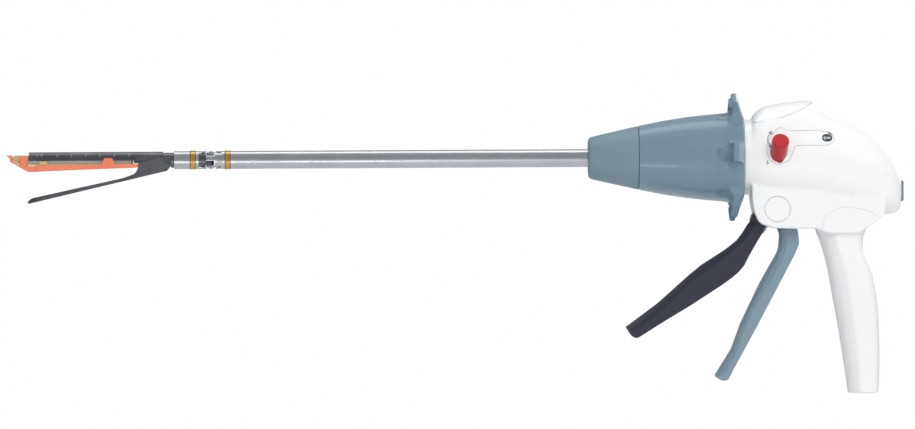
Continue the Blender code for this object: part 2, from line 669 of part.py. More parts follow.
def make_shaft_front():
    """Closure tubes with the side windows, and the double-pivot links above and below them."""
    middle_x = JOINT_X + CLOSURE_STROKE / 2
    pins = [middle_x - LINK_PIN_OFFSET, middle_x + LINK_PIN_OFFSET]
    ends = [("distal_closure_tube", TUBE_FRONT_X, pins[0] + EAR_R, WINDOW_FRONT_X, pins[0], -1),
            ("closure_tube", pins[1] - EAR_R, -62.0 * MM, WINDOW_REAR_X, pins[1], 1)]
    for name, start, end, window, pin_x, side in ends:
        tube = sleeve(name, start, end, TUBE_R, TUBE_BORE)
        tip = pin_x - side * (EAR_R + 1 * MM)
        low, high = sorted((window, tip))
        sides = mirrored_box(name + "_sides", (low, EAR_R, AXIS_Z - 9 * MM),
                             (high, 9 * MM, AXIS_Z + 9 * MM))
        outer_half = level_box(name + "_tip", *sorted((pin_x, tip)), 6 * MM, -9 * MM, 9 * MM)
        cut(outer_half, upright_pin(name + "_round", pin_x, -12 * MM, 12 * MM, EAR_R, 20))
        slot_reach = 0.9 * MM if side < 0 else 0.0
        hole_r = LINK_PIN_R + (0.6 * MM if side < 0 else FINE_GAP)
        holes = [upright_pin(name + "_hole", pin_x - slot_reach * i / 2, -9 * MM, 9 * MM, hole_r)
                 for i in range(3 if slot_reach else 1)]
        under = LINK_LEVEL + LINK_THICKNESS / 2 + FINE_GAP
        relief = level_box(name + "_relief", low, high, EAR_R + 1 * MM, -under, under)
        cut(tube, sides, outer_half, relief, *holes)
        done(tube, STEEL)
    for name, side in (("upper_link", 1), ("lower_link", -1)):
        middle = AXIS_Z + side * LINK_LEVEL
        outline = stadium(LINK_PIN_OFFSET + LINK_HALF, LINK_HALF, (middle_x, 0), 5)
        link = prism(name, outline, LINK_THICKNESS / 2, middle, "XY")
        studs = [rod(name + "_stud", (x, 0, middle), (x, 0, AXIS_Z + side * 6.15 * MM), LINK_PIN_R, 8)
                 for x in pins]
        pad_reach = LINK_PIN_OFFSET - EAR_R - 1.6 * MM
        inner, outer = sorted((middle, AXIS_Z + side * 6.05 * MM))
        pad = box(name + "_pad", (middle_x - pad_reach, -LINK_HALF, inner),
                  (middle_x + pad_reach, LINK_HALF, outer))
        join(link, *studs, pad)
        done(link, STEEL, (pins[1], 0, AXIS_Z))
    rings = (("gold_ring_front", WINDOW_FRONT_X - RING_INSET - RING_WIDTH),
             ("gold_ring_rear", WINDOW_REAR_X + RING_INSET))
    for name, start in rings:
        ring = sleeve(name, start, start + RING_WIDTH, TUBE_R + RING_HEIGHT, TUBE_R + FINE_GAP / 2)
        done(ring, GOLD)


def make_spine():
    """Fixed frame tube inside the closure tube, forked for the jaw's stem, with the firing rod inside."""
    front_x = JOINT_X + EAR_REACH
    spine = sleeve("spine", front_x, SPINE_REAR_X, SPINE_R, SPINE_BORE, 24)
    ears = [eye("spine_ear", JOINT_X, front_x + 3 * MM,
                *sorted((side * SPINE_EAR_LEVEL, side * FLAT_LEVEL)), EAR_R) for side in (-1, 1)]
    flats = [level_box("spine_flat", JOINT_X - 5 * MM, JOINT_X + 9.5 * MM, 8 * MM,
                       *sorted((side * FLAT_LEVEL, side * 9 * MM))) for side in (-1, 1)]
    hole = upright_pin("spine_ear_hole", JOINT_X, -9 * MM, 9 * MM, EAR_PIN_R + FINE_GAP)
    join(spine, *ears)
    cut(spine, *flats, hole)
    done(spine, STEEL)
    upper = upright_pin("upper_articulation_pin", JOINT_X, BAND_HIGH + 0.4 * MM, FLAT_LEVEL, EAR_PIN_R)
    lower = upright_pin("lower_articulation_pin", JOINT_X, -FLAT_LEVEL, BAND_LOW - 0.4 * MM, EAR_PIN_R)
    done(upper, STEEL)
    done(lower, STEEL)


def make_nozzle():
    """Two-part rotating nozzle: a front cone on its hub, and a finned collar that pulls back."""
    front = turned("nozzle_front", [
        (NOZZLE_FRONT_X, NOZZLE_BORE), (NOZZLE_FRONT_X, 12.6 * MM),
        (NOZZLE_FRONT_X + 0.6 * MM, 14.1 * MM), (NOZZLE_FRONT_X + 2.0 * MM, 14.9 * MM),
        (NOZZLE_SEAM_X - GAP, 22.2 * MM), (NOZZLE_SEAM_X - GAP, LIP_R), (LIP_REAR_X, LIP_R),
        (LIP_REAR_X, LIP_R - LIP_WALL), (NOZZLE_SEAM_X - 5 * MM, LIP_R - LIP_WALL),
        (NOZZLE_FLOOR_X, 12.8 * MM), (NOZZLE_FLOOR_X, NOZZLE_BORE)])
    webs = [box("nozzle_web", (NOZZLE_FRONT_X + 2 * MM, -0.8 * MM, AXIS_Z + HUB_R + GAP),
                (NOZZLE_SEAM_X - 6 * MM, 0.8 * MM, AXIS_Z + HUB_FLANGE_R)) for _ in range(4)]
    for i, web in enumerate(webs):
        web.data.transform(about_axis(90 * i + 45))
    join(front, *webs)
    done(front, GREY_BLUE, (0, 0, AXIS_Z))
    wall_front = NECK_FRONT_X - GAP
    wall_rear = NECK_FRONT_X + HOUSING_WALL + GAP
    hub = turned("nozzle_hub", [
        (NOZZLE_FLOOR_X + GAP, HUB_R), (wall_front - HUB_FLANGE, HUB_R),
        (wall_front - HUB_FLANGE, HUB_FLANGE_R), (wall_front, HUB_FLANGE_R), (wall_front, HUB_R),
        (wall_rear, HUB_R), (wall_rear, HUB_FLANGE_R), (wall_rear + HUB_FLANGE, HUB_FLANGE_R),
        (wall_rear + HUB_FLANGE, NOZZLE_BORE), (NOZZLE_FLOOR_X + GAP, NOZZLE_BORE)], 24)
    done(hub, GREY, (0, 0, AXIS_Z))
    profile = [(-156.9, 22.3), (-140.6, 25.6), (-123.1, 28.3), (-95.6, 31.1), (-93.6, 33.0), (-92.7, 40.0),
               (-92.4, 46.8), (-88.8, 46.8), (-85.5, 35.4), (-83.2, 28.4), (-83.2, 27.0), (-100.0, 27.4),
               (-140.6, 23.3), (-156.9, 20.0)]
    collar = turned("nozzle_collar", [(x * MM, r * MM) for x, r in profile], 32)
    half_valley = radians(180 / FIN_COUNT - FIN_TIP_HALF_ANGLE)
    reach = (FIN_TIP_R ** 2 - FIN_ROOT_R ** 2) / (2 * (FIN_TIP_R * cos(half_valley) - FIN_ROOT_R))
    valleys = []
    for i in range(FIN_COUNT):
        turn = radians(FIN_PHASE + 360 / FIN_COUNT * (i + 0.5))
        y, z = -reach * cos(turn), AXIS_Z + reach * sin(turn)
        valleys.append(rod("valley", (-96 * MM, y, z), (-80 * MM, y, z), reach - FIN_ROOT_R, 20))
    scoops = [ball("scoop", (SCOOP_X, 0, AXIS_Z + SCOOP_LEVEL), SCOOP_R) for _ in range(FIN_COUNT)]
    for i, scoop in enumerate(scoops):
        scoop.data.transform(about_axis(360 / FIN_COUNT * i + FIN_PHASE - 90))
    cut(collar, *valleys, *scoops)
    done(collar, GREY_BLUE, (0, 0, AXIS_Z))
    spring = coil("collar_spring", NECK_FRONT_X - 34 * MM, wall_front - HUB_FLANGE - GAP,
                  HUB_R + 1.6 * MM, 0.7 * MM, 5)
    done(spring, STEEL)


def barrel_rings(inset, start_x, end_x, count):
    """Egg-shaped cross-sections of the barrel, from the round neck to the blunt rear end."""
    rings = []
    stations = [(start_x / MM, *BARREL_STATIONS[0][1:])] + BARREL_STATIONS
    stations[-1] = (end_x / MM, *BARREL_STATIONS[-1][1:])
    for x, middle, half, top, bottom in stations:
        ring = []
        for i in range(count):
            turn = 2 * pi * (i + 0.5) / count
            rise = top * MM - inset - middle * MM if sin(turn) > 0 else middle * MM - bottom * MM - inset
            ring.append((x * MM, (half * MM - inset) * cos(turn), middle * MM + rise * sin(turn)))
        rings.append(ring)
    return rings


def grip_rings(inset, low):
    """Cross-sections of the grip: a narrow rounded front that widens to flat sides."""
    rings = []
    stations = [station for station in GRIP_STATIONS if station[0] * MM > low]
    lowest = GRIP_STATIONS[-len(stations) - 1]
    for z, front, rear, half in [(low / MM, *lowest[1:])] + stations:
        length = (rear - front) * MM - 2 * inset
        right = [(front * MM + inset + length * u, (half * MM - inset) * v) for u, v in GRIP_HALF_SECTION]
        left = [(x, -y) for x, y in reversed(right[1:-1])]
        rings.append([(x, y, z * MM) for x, y in right + left])
    return rings


def handle_form(name, inset, count, segments):
    """The handle's solid outer form, or the space inside its wall when inset is the wall."""
    rear_x = BARREL_STATIONS[-1][0] * MM
    barrel = loft(name, barrel_rings(inset, NECK_FRONT_X + inset, rear_x - inset, count))
    outline = [(x * MM, z * MM, r * MM) for x, z, r in BODY_OUTLINE]
    middle = Vector((-32 * MM, 133 * MM))
    shrunk = []
    for x, z, r in outline:
        away = Vector((x, z)) - middle
        away -= Vector((inset * (1 if away.x > 0 else -1) * 1.0, inset * (1 if away.y > 0 else -1) * 1.0))
        shrunk.append((middle.x + away.x, middle.y + away.y, r))
    body = prism(name + "_body", rounded(shrunk, 4 * MM), BODY_HALF - inset)
    body = bevelled(body, 4 * MM - inset, segments, 50)
    grip = loft(name + "_grip", grip_rings(inset, inset))
    return bake(join(barrel, body, grip))


def cover_region(name, shrink=0.0):
    """Everything above the seam of the top cover."""
    seam = [(-77.0, 189.6), (-69.4, 190.3), (-57.4, 192.9), (-49.4, 195.7), (-41.3, 199.7), (-34.6, 204.2)]
    outline = [(x * MM, z * MM + shrink) for x, z in seam]
    outline += [(-34.6 * MM, 215 * MM), (-77.0 * MM + shrink, 215 * MM)]
    outline[0] = (outline[0][0] + shrink, outline[0][1])
    return prism(name, outline, 40 * MM)


def cut_left_openings(half):
    window = prism("window_hole", stadium(*WINDOW_HALF, WINDOW_CENTRE), 12 * MM, -30 * MM)
    middle = (SWITCH_BASE.x, SWITCH_BASE.z - SWITCH_TRAVEL / 2)
    half_long = SWITCH_TRAVEL / 2 + SWITCH_STEM_R + GAP
    slot = [(middle[0] + b - middle[1], middle[1] + a - middle[0])
            for a, b in stadium(half_long, SWITCH_STEM_R + GAP, (middle[0], middle[1]))]
    return cut(half, window, prism("switch_slot", slot, 8 * MM, -28 * MM))


def make_housing():
    """Two moulded half shells with bosses, and the lift-off cover on top."""
    outer = handle_form("shell_form", 0.0, 20, 2)
    space = handle_form("space", HOUSING_WALL, 12, 1)
    neck_hole = rod("neck_hole", (NECK_FRONT_X - 1 * MM, 0, AXIS_Z), (NECK_FRONT_X + 4 * MM, 0, AXIS_Z),
                    HUB_R + GAP, 32)
    slot_outline = ((-82, 128.6), (-82, 108), (-32.4, 108), (-32.4, 119.5), (-60, 128.6))
    slot = prism("trigger_slot", [(x * MM, z * MM) for x, z in slot_outline], TRIGGER_SLOT_HALF)
    button_hole = box("button_hole", (20 * MM, -BUTTON_HALF[0] - GAP, BUTTON_Z - BUTTON_HALF[1] - GAP),
                      (32 * MM, BUTTON_HALF[0] + GAP, BUTTON_Z + BUTTON_HALF[1] + GAP))
    cover = keep(copy_of(outer, "override_cover"), cover_region("cover_region", FINE_GAP))
    done(cut(cover, space), WHITE)
    for name, side in (("left_housing", -1), ("right_housing", 1)):
        half = copy_of(outer, name)
        low, high = sorted((side * 0.15 * MM, side * -60 * MM))
        other_side = box(name + "_other_side", (-120 * MM, low, -20 * MM), (60 * MM, high, 240 * MM))
        cut(half, other_side, cover_region(name + "_seam", -FINE_GAP), space, neck_hole, slot, button_hole)
        half = bake(half)
        boss = rod(name + "_boss", (TRIGGER_X, side * (BODY_HALF - 1 * MM), TRIGGER_Z),
                   (TRIGGER_X, side * (TRIGGER_SLOT_HALF + 1.4 * MM), TRIGGER_Z), 5 * MM, 14)
        posts = [rod(name + "_post", (x * MM, side * 0.15 * MM, z * MM),
                     (x * MM, side * depth * MM, z * MM), 3 * MM, 8) for x, z, depth in SCREW_PLACES]
        join(half, boss, *posts)
        bore = rod(name + "_bore", (TRIGGER_X, 0, TRIGGER_Z),
                   (TRIGGER_X, side * (BODY_HALF - 2.2 * MM), TRIGGER_Z), TRIGGER_PIN_R + FINE_GAP, 16)
        cap_seat = rod(name + "_cap_seat", (TRIGGER_X, side * (BODY_HALF - 0.9 * MM), TRIGGER_Z),
                       (TRIGGER_X, side * (BODY_HALF + 9 * MM), TRIGGER_Z), PIVOT_CAP_R + GAP, 30)
        screw_bores = [rod(name + "_screw_bore", (x * MM, 0, z * MM),
                           (x * MM, side * (depth - 1.5) * MM, z * MM), 1.25 * MM, 8)
                       for x, z, depth in SCREW_PLACES]
        cut(half, bore, cap_seat, *screw_bores)
        if side < 0:
            half = cut_left_openings(half)
        done(half, WHITE)
    bpy.data.objects.remove(outer, do_unlink=True)


def make_triggers():
    """Closing trigger near the grip and firing trigger in front of it, both on one cross pin."""
    pivot = (TRIGGER_X, 0, TRIGGER_Z)
    outline = rounded([(x * MM, z * MM, r * MM) for x, z, r in CLOSING_OUTLINE], 4 * MM)
    closing = prism("closing_trigger", outline, TRIGGER_HALF)
    closing = bevelled(closing, 2.0 * MM, 2, 50)
    cheek_outline = [(x * MM, z * MM) for x, z in ((-80, 112.4), (-59.2, 112.4), (-57.2, CHEEK_Z / MM),
                                                   (-30, CHEEK_Z / MM), (-30, 145), (-80, 145))]
    cheek_y = (HUB_HALF + 12 * MM) / 2
    cheeks = [prism("closing_cheek", cheek_outline, 12 * MM - cheek_y, side * cheek_y) for side in (-1, 1)]
    bore = cross_pin("closing_bore", TRIGGER_X, TRIGGER_Z, 12 * MM, TRIGGER_PIN_R + FINE_GAP)
    cut(closing, *cheeks, bore)
    done(closing, GREY_BLUE, pivot)
    outline = rounded([(x * MM, z * MM, r * MM) for x, z, r in FIRING_OUTLINE], 4 * MM)
    firing = prism("firing_trigger", outline, TRIGGER_HALF)
    firing = bevelled(firing, 2.0 * MM, 2, 50)
    fork_outline = ((-71.8, 142), (-71.8, 108), (-69, 104), (-40, 104), (-40, 142))
    fork = prism("firing_fork", [(x * MM, z * MM) for x, z in fork_outline], HUB_HALF + GAP)
    bore = cross_pin("firing_bore", TRIGGER_X, TRIGGER_Z, 12 * MM, TRIGGER_PIN_R + FINE_GAP)
    cut(firing, fork, bore)
    done(firing, NAVY, pivot)
    pin = cross_pin("trigger_pin", TRIGGER_X, TRIGGER_Z, BODY_HALF - 2.5 * MM, TRIGGER_PIN_R)
    done(pin, STEEL, pivot)
    for name, side in (("left_pivot_cap", -1), ("right_pivot_cap", 1)):
        cap = rod(name, (TRIGGER_X, side * (BODY_HALF - 0.8 * MM), TRIGGER_Z),
                  (TRIGGER_X, side * (BODY_HALF + 0.3 * MM), TRIGGER_Z), PIVOT_CAP_R, 24)
        done(cap, WHITE)
    for i, (x, z, depth) in enumerate(SCREW_PLACES):
        screw = rod(f"housing_screw_{i + 1}", (x * MM, -(depth - 2) * MM, z * MM),
                    (x * MM, (depth - 2) * MM, z * MM), 1.0 * MM, 8)
        done(screw, STEEL)


def gear_outline(teeth, pitch_r, middle, phase):
    """Trapezoid teeth round a pitch circle."""
    points = []
    for i in range(teeth):
        turn = phase + 2 * pi * i / teeth
        half_root = 2 * pi / teeth * ROOT_SHARE
        half_tip = 2 * pi / teeth * TIP_SHARE
        for offset, radius in ((-half_root, pitch_r - DEDENDUM), (-half_tip, pitch_r + ADDENDUM),
                               (half_tip, pitch_r + ADDENDUM), (half_root, pitch_r - DEDENDUM)):
            points.append((middle[0] + radius * cos(turn + offset),
                           middle[1] + radius * sin(turn + offset)))
    return points


def make_drive():
    """Firing rod with its toothed rack, and the gear that drives it."""
    pitch = pi * TOOTH_MODULE
    low = AXIS_Z - PITCH_DROP
    points = [(RACK_REAR_X, AXIS_Z + 2.6 * MM), (RACK_FRONT_X, AXIS_Z + 2.6 * MM),
              (RACK_FRONT_X, low + DEDENDUM)]
    count = int((RACK_REAR_X - RACK_FRONT_X) / pitch) - 1
    first = GEAR_X + pitch * (0.5 - round((GEAR_X - RACK_FRONT_X) / pitch))
    for i in range(count):
        middle = first + pitch * (i + 1)
        half_root = pitch * ROOT_SHARE
        half_tip = pitch * TIP_SHARE
        points += [(middle - half_root, low + DEDENDUM), (middle - half_tip, low - ADDENDUM),
                   (middle + half_tip, low - ADDENDUM), (middle + half_root, low + DEDENDUM)]
    points.append((RACK_REAR_X, low + DEDENDUM))
    done(prism("firing_rack", points, RACK_HALF), STEEL)
    bar = rod("firing_rod", (BAND_REAR_X + GAP, 0, AXIS_Z), (RACK_FRONT_X - GAP, 0, AXIS_Z), ROD_R, 16)
    done(bar, STEEL)
    gear = prism("drive_gear", gear_outline(GEAR_TEETH, GEAR_R, (GEAR_X, GEAR_Z), pi / 2), 2.5 * MM)
    hub = cross_pin("drive_gear_hub", GEAR_X, GEAR_Z, PLATE_Y - PLATE_HALF - GAP, 2 * ARBOR_R)
    join(gear, hub)
    cut(gear, cross_pin("gear_bore", GEAR_X, GEAR_Z, ARBOR_HALF, ARBOR_R + FINE_GAP, 12))
    done(gear, STEEL, (GEAR_X, 0, GEAR_Z))
    arbor = cross_pin("gear_arbor", GEAR_X, GEAR_Z, ARBOR_HALF, ARBOR_R, 12)
    done(arbor, STEEL)
    outline = rounded([(x * MM, z * MM) for x, z in PLATE_OUTLINE], 3 * MM)
    for name, side in (("left_frame_plate", -1), ("right_frame_plate", 1)):
        plate = prism(name, outline, PLATE_HALF, side * PLATE_Y)
        holes = [cross_pin("plate_hole", x, z, ARBOR_HALF, ARBOR_R + FINE_GAP, 12)
                 for x, z in ((GEAR_X, GEAR_Z), OVERRIDE_PIVOT)]
        done(cut(plate, *holes), STEEL)


def make_override():
    """Lever under the cover that frees the rack by hand, on its own cross pin."""
    x, z = OVERRIDE_PIVOT
    outline = [(-66.0, 179.2), (-66.0, 181.8), (-45.0, 183.6), (-33.6, 183.6), (-33.6, 176.0),
               (-36.4, 169.6), (-40.2, 169.6), (-41.4, 176.4), (-56.0, 178.0)]
    lever = prism("override_lever", rounded([(x * MM, z * MM) for x, z in outline], 1.2 * MM), 6.0 * MM)
    bore = cross_pin("override_bore", x, z, PLATE_Y, ARBOR_R + FINE_GAP, 12)
    done(cut(lever, bore), RED, (x, 0, z))
    done(cross_pin("override_pin", x, z, ARBOR_HALF, ARBOR_R, 12), STEEL)


def make_closure():
    """Yoke that carries the closure tube's rear end, with its return spring."""
    yoke = level_box("closure_yoke", -70 * MM, -52 * MM, 9.4 * MM, -9 * MM, 9 * MM)
    bore = rod("yoke_bore", (-72 * MM, 0, AXIS_Z), (-50 * MM, 0, AXIS_Z), TUBE_R + FINE_GAP, 24)
    cut(bevelled(yoke, 1.5 * MM, 1), bore)
    yoke = model.objects["closure_yoke"]
    done(yoke, GREY)
    spring = coil("closure_spring", -91.0 * MM, -70.4 * MM, 7.6 * MM, 0.5 * MM, 5)
    done(spring, STEEL)


def make_controls():
    """Reverse switch, direction pointer with its lens, and release button with its bar and spring."""
    along = (SWITCH_CAP - SWITCH_BASE).normalized()
    knob = rod("reverse_switch", SWITCH_BASE - along * 3 * MM, SWITCH_CAP, SWITCH_R, 28)
    knob = bevelled(knob, 0.6 * MM, 1)
    face = box("switch_face", (-90 * MM, -27.4 * MM, 140 * MM), (-30 * MM, 0, 200 * MM))
    knob = bake(cut(knob, face))
    stem = rod("switch_stem", (SWITCH_BASE.x, -30 * MM, SWITCH_BASE.z),
               (SWITCH_BASE.x, -20 * MM, SWITCH_BASE.z), SWITCH_STEM_R, 12)
    foot = box("switch_foot", (SWITCH_BASE.x - 5 * MM, -22 * MM, SWITCH_BASE.z - 5 * MM),
               (SWITCH_BASE.x + 5 * MM, -20 * MM, SWITCH_BASE.z + 5 * MM))
    join(knob, stem, foot)
    done(knob, RED)
    x, z = WINDOW_CENTRE
    pane = stadium(WINDOW_HALF[0] - FINE_GAP, WINDOW_HALF[1] - FINE_GAP, WINDOW_CENTRE)
    lens = prism("indicator_lens", pane, 0.6 * MM, -22.3 * MM)
    done(lens, CLEAR)
    disc = rod("indicator_disc", (x, -17.4 * MM, z), (x, -16.0 * MM, z), 4.4 * MM, 24)
    axle = rod("disc_axle", (x, -17 * MM, z), (x, -PLATE_Y - PLATE_HALF - GAP, z), 1.2 * MM, 10)
    join(disc, axle)
    done(disc, DARK_STEEL, (x, 0, z))
    inner_x = BUTTON_REAR_X - BUTTON_LENGTH
    button = box("release_button", (inner_x, -BUTTON_HALF[0], BUTTON_Z - BUTTON_HALF[1]),
                 (BUTTON_REAR_X, BUTTON_HALF[0], BUTTON_Z + BUTTON_HALF[1]))
    done(bevelled(button, 1.6 * MM, 2), GREY_BLUE)
    bar = prism("release_bar", rounded([
        (inner_x - GAP, 137.5 * MM), (inner_x - GAP, 134.5 * MM), (BAR_FRONT_X + 4 * MM, 133.0 * MM),
        (BAR_FRONT_X + 3 * MM, 129.6 * MM), (BAR_FRONT_X, 129.6 * MM), (BAR_FRONT_X, 135.0 * MM),
        (BAR_FRONT_X + 4 * MM, 137.0 * MM)], 0.8 * MM), BAR_HALF)
    done(bar, STEEL)
    seat = box("spring_seat", (5 * MM, GAP - PLATE_Y + PLATE_HALF, BUTTON_Z - 3 * MM),
               (8 * MM, PLATE_Y - PLATE_HALF - GAP, BUTTON_Z + 4 * MM))
    done(seat, GREY)
    spring = coil("release_spring", 8 * MM + GAP, inner_x - GAP, 2.6 * MM, 0.4 * MM, 5,
                  (0.0, BUTTON_Z + 0.8 * MM))
    done(spring, STEEL)


def build():
    global model, cutters
    clear_scene()
    model = new_collection("linear_surgical_stapler")
    cutters = new_collection("cutters")
    make_channel()
    make_cartridge()
    make_knife()
    make_anvil()
    make_retainer()
    make_shaft_front()
    make_spine()
    make_nozzle()
    make_housing()
    make_triggers()
    make_drive()
    make_override()
    make_closure()
    make_controls()


build()
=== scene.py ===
import json
from math import atan2, cos, pi, radians, sin
import bmesh
import bpy
from mathutils import Matrix, Vector


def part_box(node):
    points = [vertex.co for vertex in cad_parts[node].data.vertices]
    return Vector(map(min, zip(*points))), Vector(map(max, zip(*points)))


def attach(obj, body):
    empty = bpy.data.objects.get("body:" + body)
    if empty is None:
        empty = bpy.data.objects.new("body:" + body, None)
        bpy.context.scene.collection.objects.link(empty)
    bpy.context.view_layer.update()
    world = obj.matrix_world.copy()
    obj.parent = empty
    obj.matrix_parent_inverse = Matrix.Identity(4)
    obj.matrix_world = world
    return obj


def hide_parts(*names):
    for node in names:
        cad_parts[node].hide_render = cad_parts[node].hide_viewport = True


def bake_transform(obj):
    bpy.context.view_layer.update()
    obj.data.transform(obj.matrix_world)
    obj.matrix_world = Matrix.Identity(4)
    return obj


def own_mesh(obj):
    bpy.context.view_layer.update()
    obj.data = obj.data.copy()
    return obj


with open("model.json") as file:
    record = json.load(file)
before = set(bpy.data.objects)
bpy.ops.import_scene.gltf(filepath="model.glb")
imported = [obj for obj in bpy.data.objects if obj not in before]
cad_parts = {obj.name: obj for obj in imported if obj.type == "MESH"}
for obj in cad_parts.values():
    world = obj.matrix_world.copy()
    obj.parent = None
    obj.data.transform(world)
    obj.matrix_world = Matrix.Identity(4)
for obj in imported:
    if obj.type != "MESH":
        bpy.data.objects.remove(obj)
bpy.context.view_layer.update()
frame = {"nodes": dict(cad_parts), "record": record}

# The studio: a pale floor in an even surround that the camera sees as white, and a long level lens.
# A broad soft lamp stands above and in front and a strip over the top, with a weak fill and a small
# glint from low in front and a rim lamp behind.
scene = bpy.context.scene
scene.view_settings.view_transform = "Standard"


def seen_as_white(tree, lit, bright, output):
    """The camera sees the bright shader, and everything else is lit by the plain one."""
    ray = tree.nodes.new("ShaderNodeLightPath")
    choose = tree.nodes.new("ShaderNodeMixShader")
    tree.links.new(ray.outputs["Is Camera Ray"], choose.inputs[0])
    tree.links.new(lit.outputs[0], choose.inputs[1])
    tree.links.new(bright.outputs[0], choose.inputs[2])
    tree.links.new(choose.outputs[0], output.inputs["Surface"])


world = bpy.data.worlds.new("Pale studio")
scene.world = world
world.use_nodes = True
sky = world.node_tree.nodes
sky["Background"].inputs["Color"].default_value = (0.86, 0.87, 0.89, 1)
sky["Background"].inputs["Strength"].default_value = 0.51
seen = sky.new("ShaderNodeBackground")
seen.inputs["Color"].default_value = (1, 1, 1, 1)
seen.inputs["Strength"].default_value = 1.0
seen_as_white(world.node_tree, sky["Background"], seen, sky["World Output"])

table_half_side, table_place = 4.0, (0, 1.0, -0.22)
table = bmesh.new()
bmesh.ops.create_grid(table, x_segments=1, y_segments=1, size=table_half_side)
bmesh.ops.translate(table, vec=table_place, verts=table.verts)
table_mesh = bpy.data.meshes.new("table")
table.to_mesh(table_mesh)
table.free()
floor = bpy.data.objects.new("table", table_mesh)
scene.collection.objects.link(floor)
table_top = bpy.data.materials.new("Pale table top")
table_top.use_nodes = True
top = table_top.node_tree.nodes
top["Principled BSDF"].inputs["Base Color"].default_value = (0.9, 0.9, 0.91, 1)
top["Principled BSDF"].inputs["Roughness"].default_value = 0.9
glow = top.new("ShaderNodeEmission")
glow.inputs["Color"].default_value = (1, 1, 1, 1)
seen_as_white(table_top.node_tree, top["Principled BSDF"], glow, top["Material Output"])
floor.data.materials.append(table_top)

for lamp, place, aim, size, power in (
        ("Front softbox", (0.35, -1.45, 1.15), (-0.15, 0, 0.12), (1.8, 0.9), 18),
        ("Top strip", (-0.15, 0.2, 1.3), (-0.2, 0, 0.12), (1.6, 0.5), 5.5),
        ("Low fill", (-0.1, -1.6, -0.1), (-0.2, 0, 0.12), (1.4, 0.4), 2.8),
        ("Low glint", (-0.45, -0.62, -0.15), (-0.4, 0, 0.16), (0.3, 0.05), 0.35),
        ("Back rim", (0.7, 1.1, 0.6), (0, 0, 0.12), (0.7, 0.7), 5)):
    light = bpy.data.lights.new(lamp, "AREA")
    light.shape = "RECTANGLE"
    light.size, light.size_y = size
    light.energy = power
    holder = bpy.data.objects.new(lamp, light)
    scene.collection.objects.link(holder)
    holder.location = place
    holder.visible_glossy = lamp not in ("Front softbox", "Low fill")
    holder.visible_diffuse = lamp != "Low glint"
    holder.rotation_euler = (Vector(aim) - Vector(place)).to_track_quat("-Z", "Y").to_euler()

lens = bpy.data.cameras.new("Long lens")
lens.sensor_width = 36.0
lens.lens = 281.2
lens.clip_end = 50.0
camera = bpy.data.objects.new("Long lens", lens)
scene.collection.objects.link(camera)
stand_point = Vector((-0.36, -5.0, 0.1265))
aim_point = Vector((-0.2836, 0, 0.1265))
camera_roll = radians(-0.3)
look = (aim_point - stand_point).to_track_quat("-Z", "Y")
camera.rotation_euler = (look.to_matrix() @ Matrix.Rotation(camera_roll, 3, "Z")).to_euler()
camera.location = stand_point
scene.camera = camera

# The shaft: a thin stainless closure tube that slides on the solid spine inside it. It is drawn
# tube, brushed along its length, with its edges broken and two ears at the joint.
bodies = frame["record"]["behaviour"]["bodies"]
rides_on = {node: body for body, nodes in bodies.items() for node in nodes}
axis_z = 0.1655
crease_angle = 35


def node_material(name, base, roughness, metallic=0.0):
    """A Principled material and its node tree, ready for a pattern."""
    material = bpy.data.materials.new(name)
    material.use_nodes = True
    tree = material.node_tree
    shader = tree.nodes["Principled BSDF"]
    shader.inputs["Base Color"].default_value = (*base, 1)
    shader.inputs["Roughness"].default_value = roughness
    shader.inputs["Metallic"].default_value = metallic
    return material, tree, shader


def speckle(tree, scale, detail=3.0, stretch=(1, 1, 1)):
    """Noise on the piece's own coordinates, stretched along the way it was worked."""
    place = tree.nodes.new("ShaderNodeTexCoord")
    spread = tree.nodes.new("ShaderNodeMapping")
    spread.inputs["Scale"].default_value = stretch
    noise = tree.nodes.new("ShaderNodeTexNoise")
    noise.inputs["Scale"].default_value = scale
    noise.inputs["Detail"].default_value = detail
    tree.links.new(place.outputs["Object"], spread.inputs["Vector"])
    tree.links.new(spread.outputs["Vector"], noise.inputs["Vector"])
    return noise


def vary(tree, shader, source, socket, low, high):
    """Lets a pattern drive one of the shader's sockets between two values."""
    pattern_low, pattern_high = 0.3, 0.7
    ramp = tree.nodes.new("ShaderNodeMapRange")
    ramp.inputs["From Min"].default_value = pattern_low
    ramp.inputs["From Max"].default_value = pattern_high
    ramp.inputs["To Min"].default_value = low
    ramp.inputs["To Max"].default_value = high
    tree.links.new(source.outputs[0], ramp.inputs["Value"])
    tree.links.new(ramp.outputs["Result"], shader.inputs[socket])


def tint(tree, shader, source, first, second):
    """Colours the surface between two tints as the pattern says."""
    ramp = tree.nodes.new("ShaderNodeValToRGB")
    for stop, place, colour in zip(ramp.color_ramp.elements, (0.35, 0.65), (first, second)):
        stop.position = place
        stop.color = (*colour, 1)
    tree.links.new(source.outputs[0], ramp.inputs["Fac"])
    tree.links.new(ramp.outputs["Color"], shader.inputs["Base Color"])


def emboss(tree, shader, source, strength, distance):
    """Gives the pattern a little real height."""
    bump = tree.nodes.new("ShaderNodeBump")
    bump.inputs["Strength"].default_value = strength
    bump.inputs["Distance"].default_value = distance
    tree.links.new(source.outputs[0], bump.inputs["Height"])
    tree.links.new(bump.outputs["Normal"], shader.inputs["Normal"])


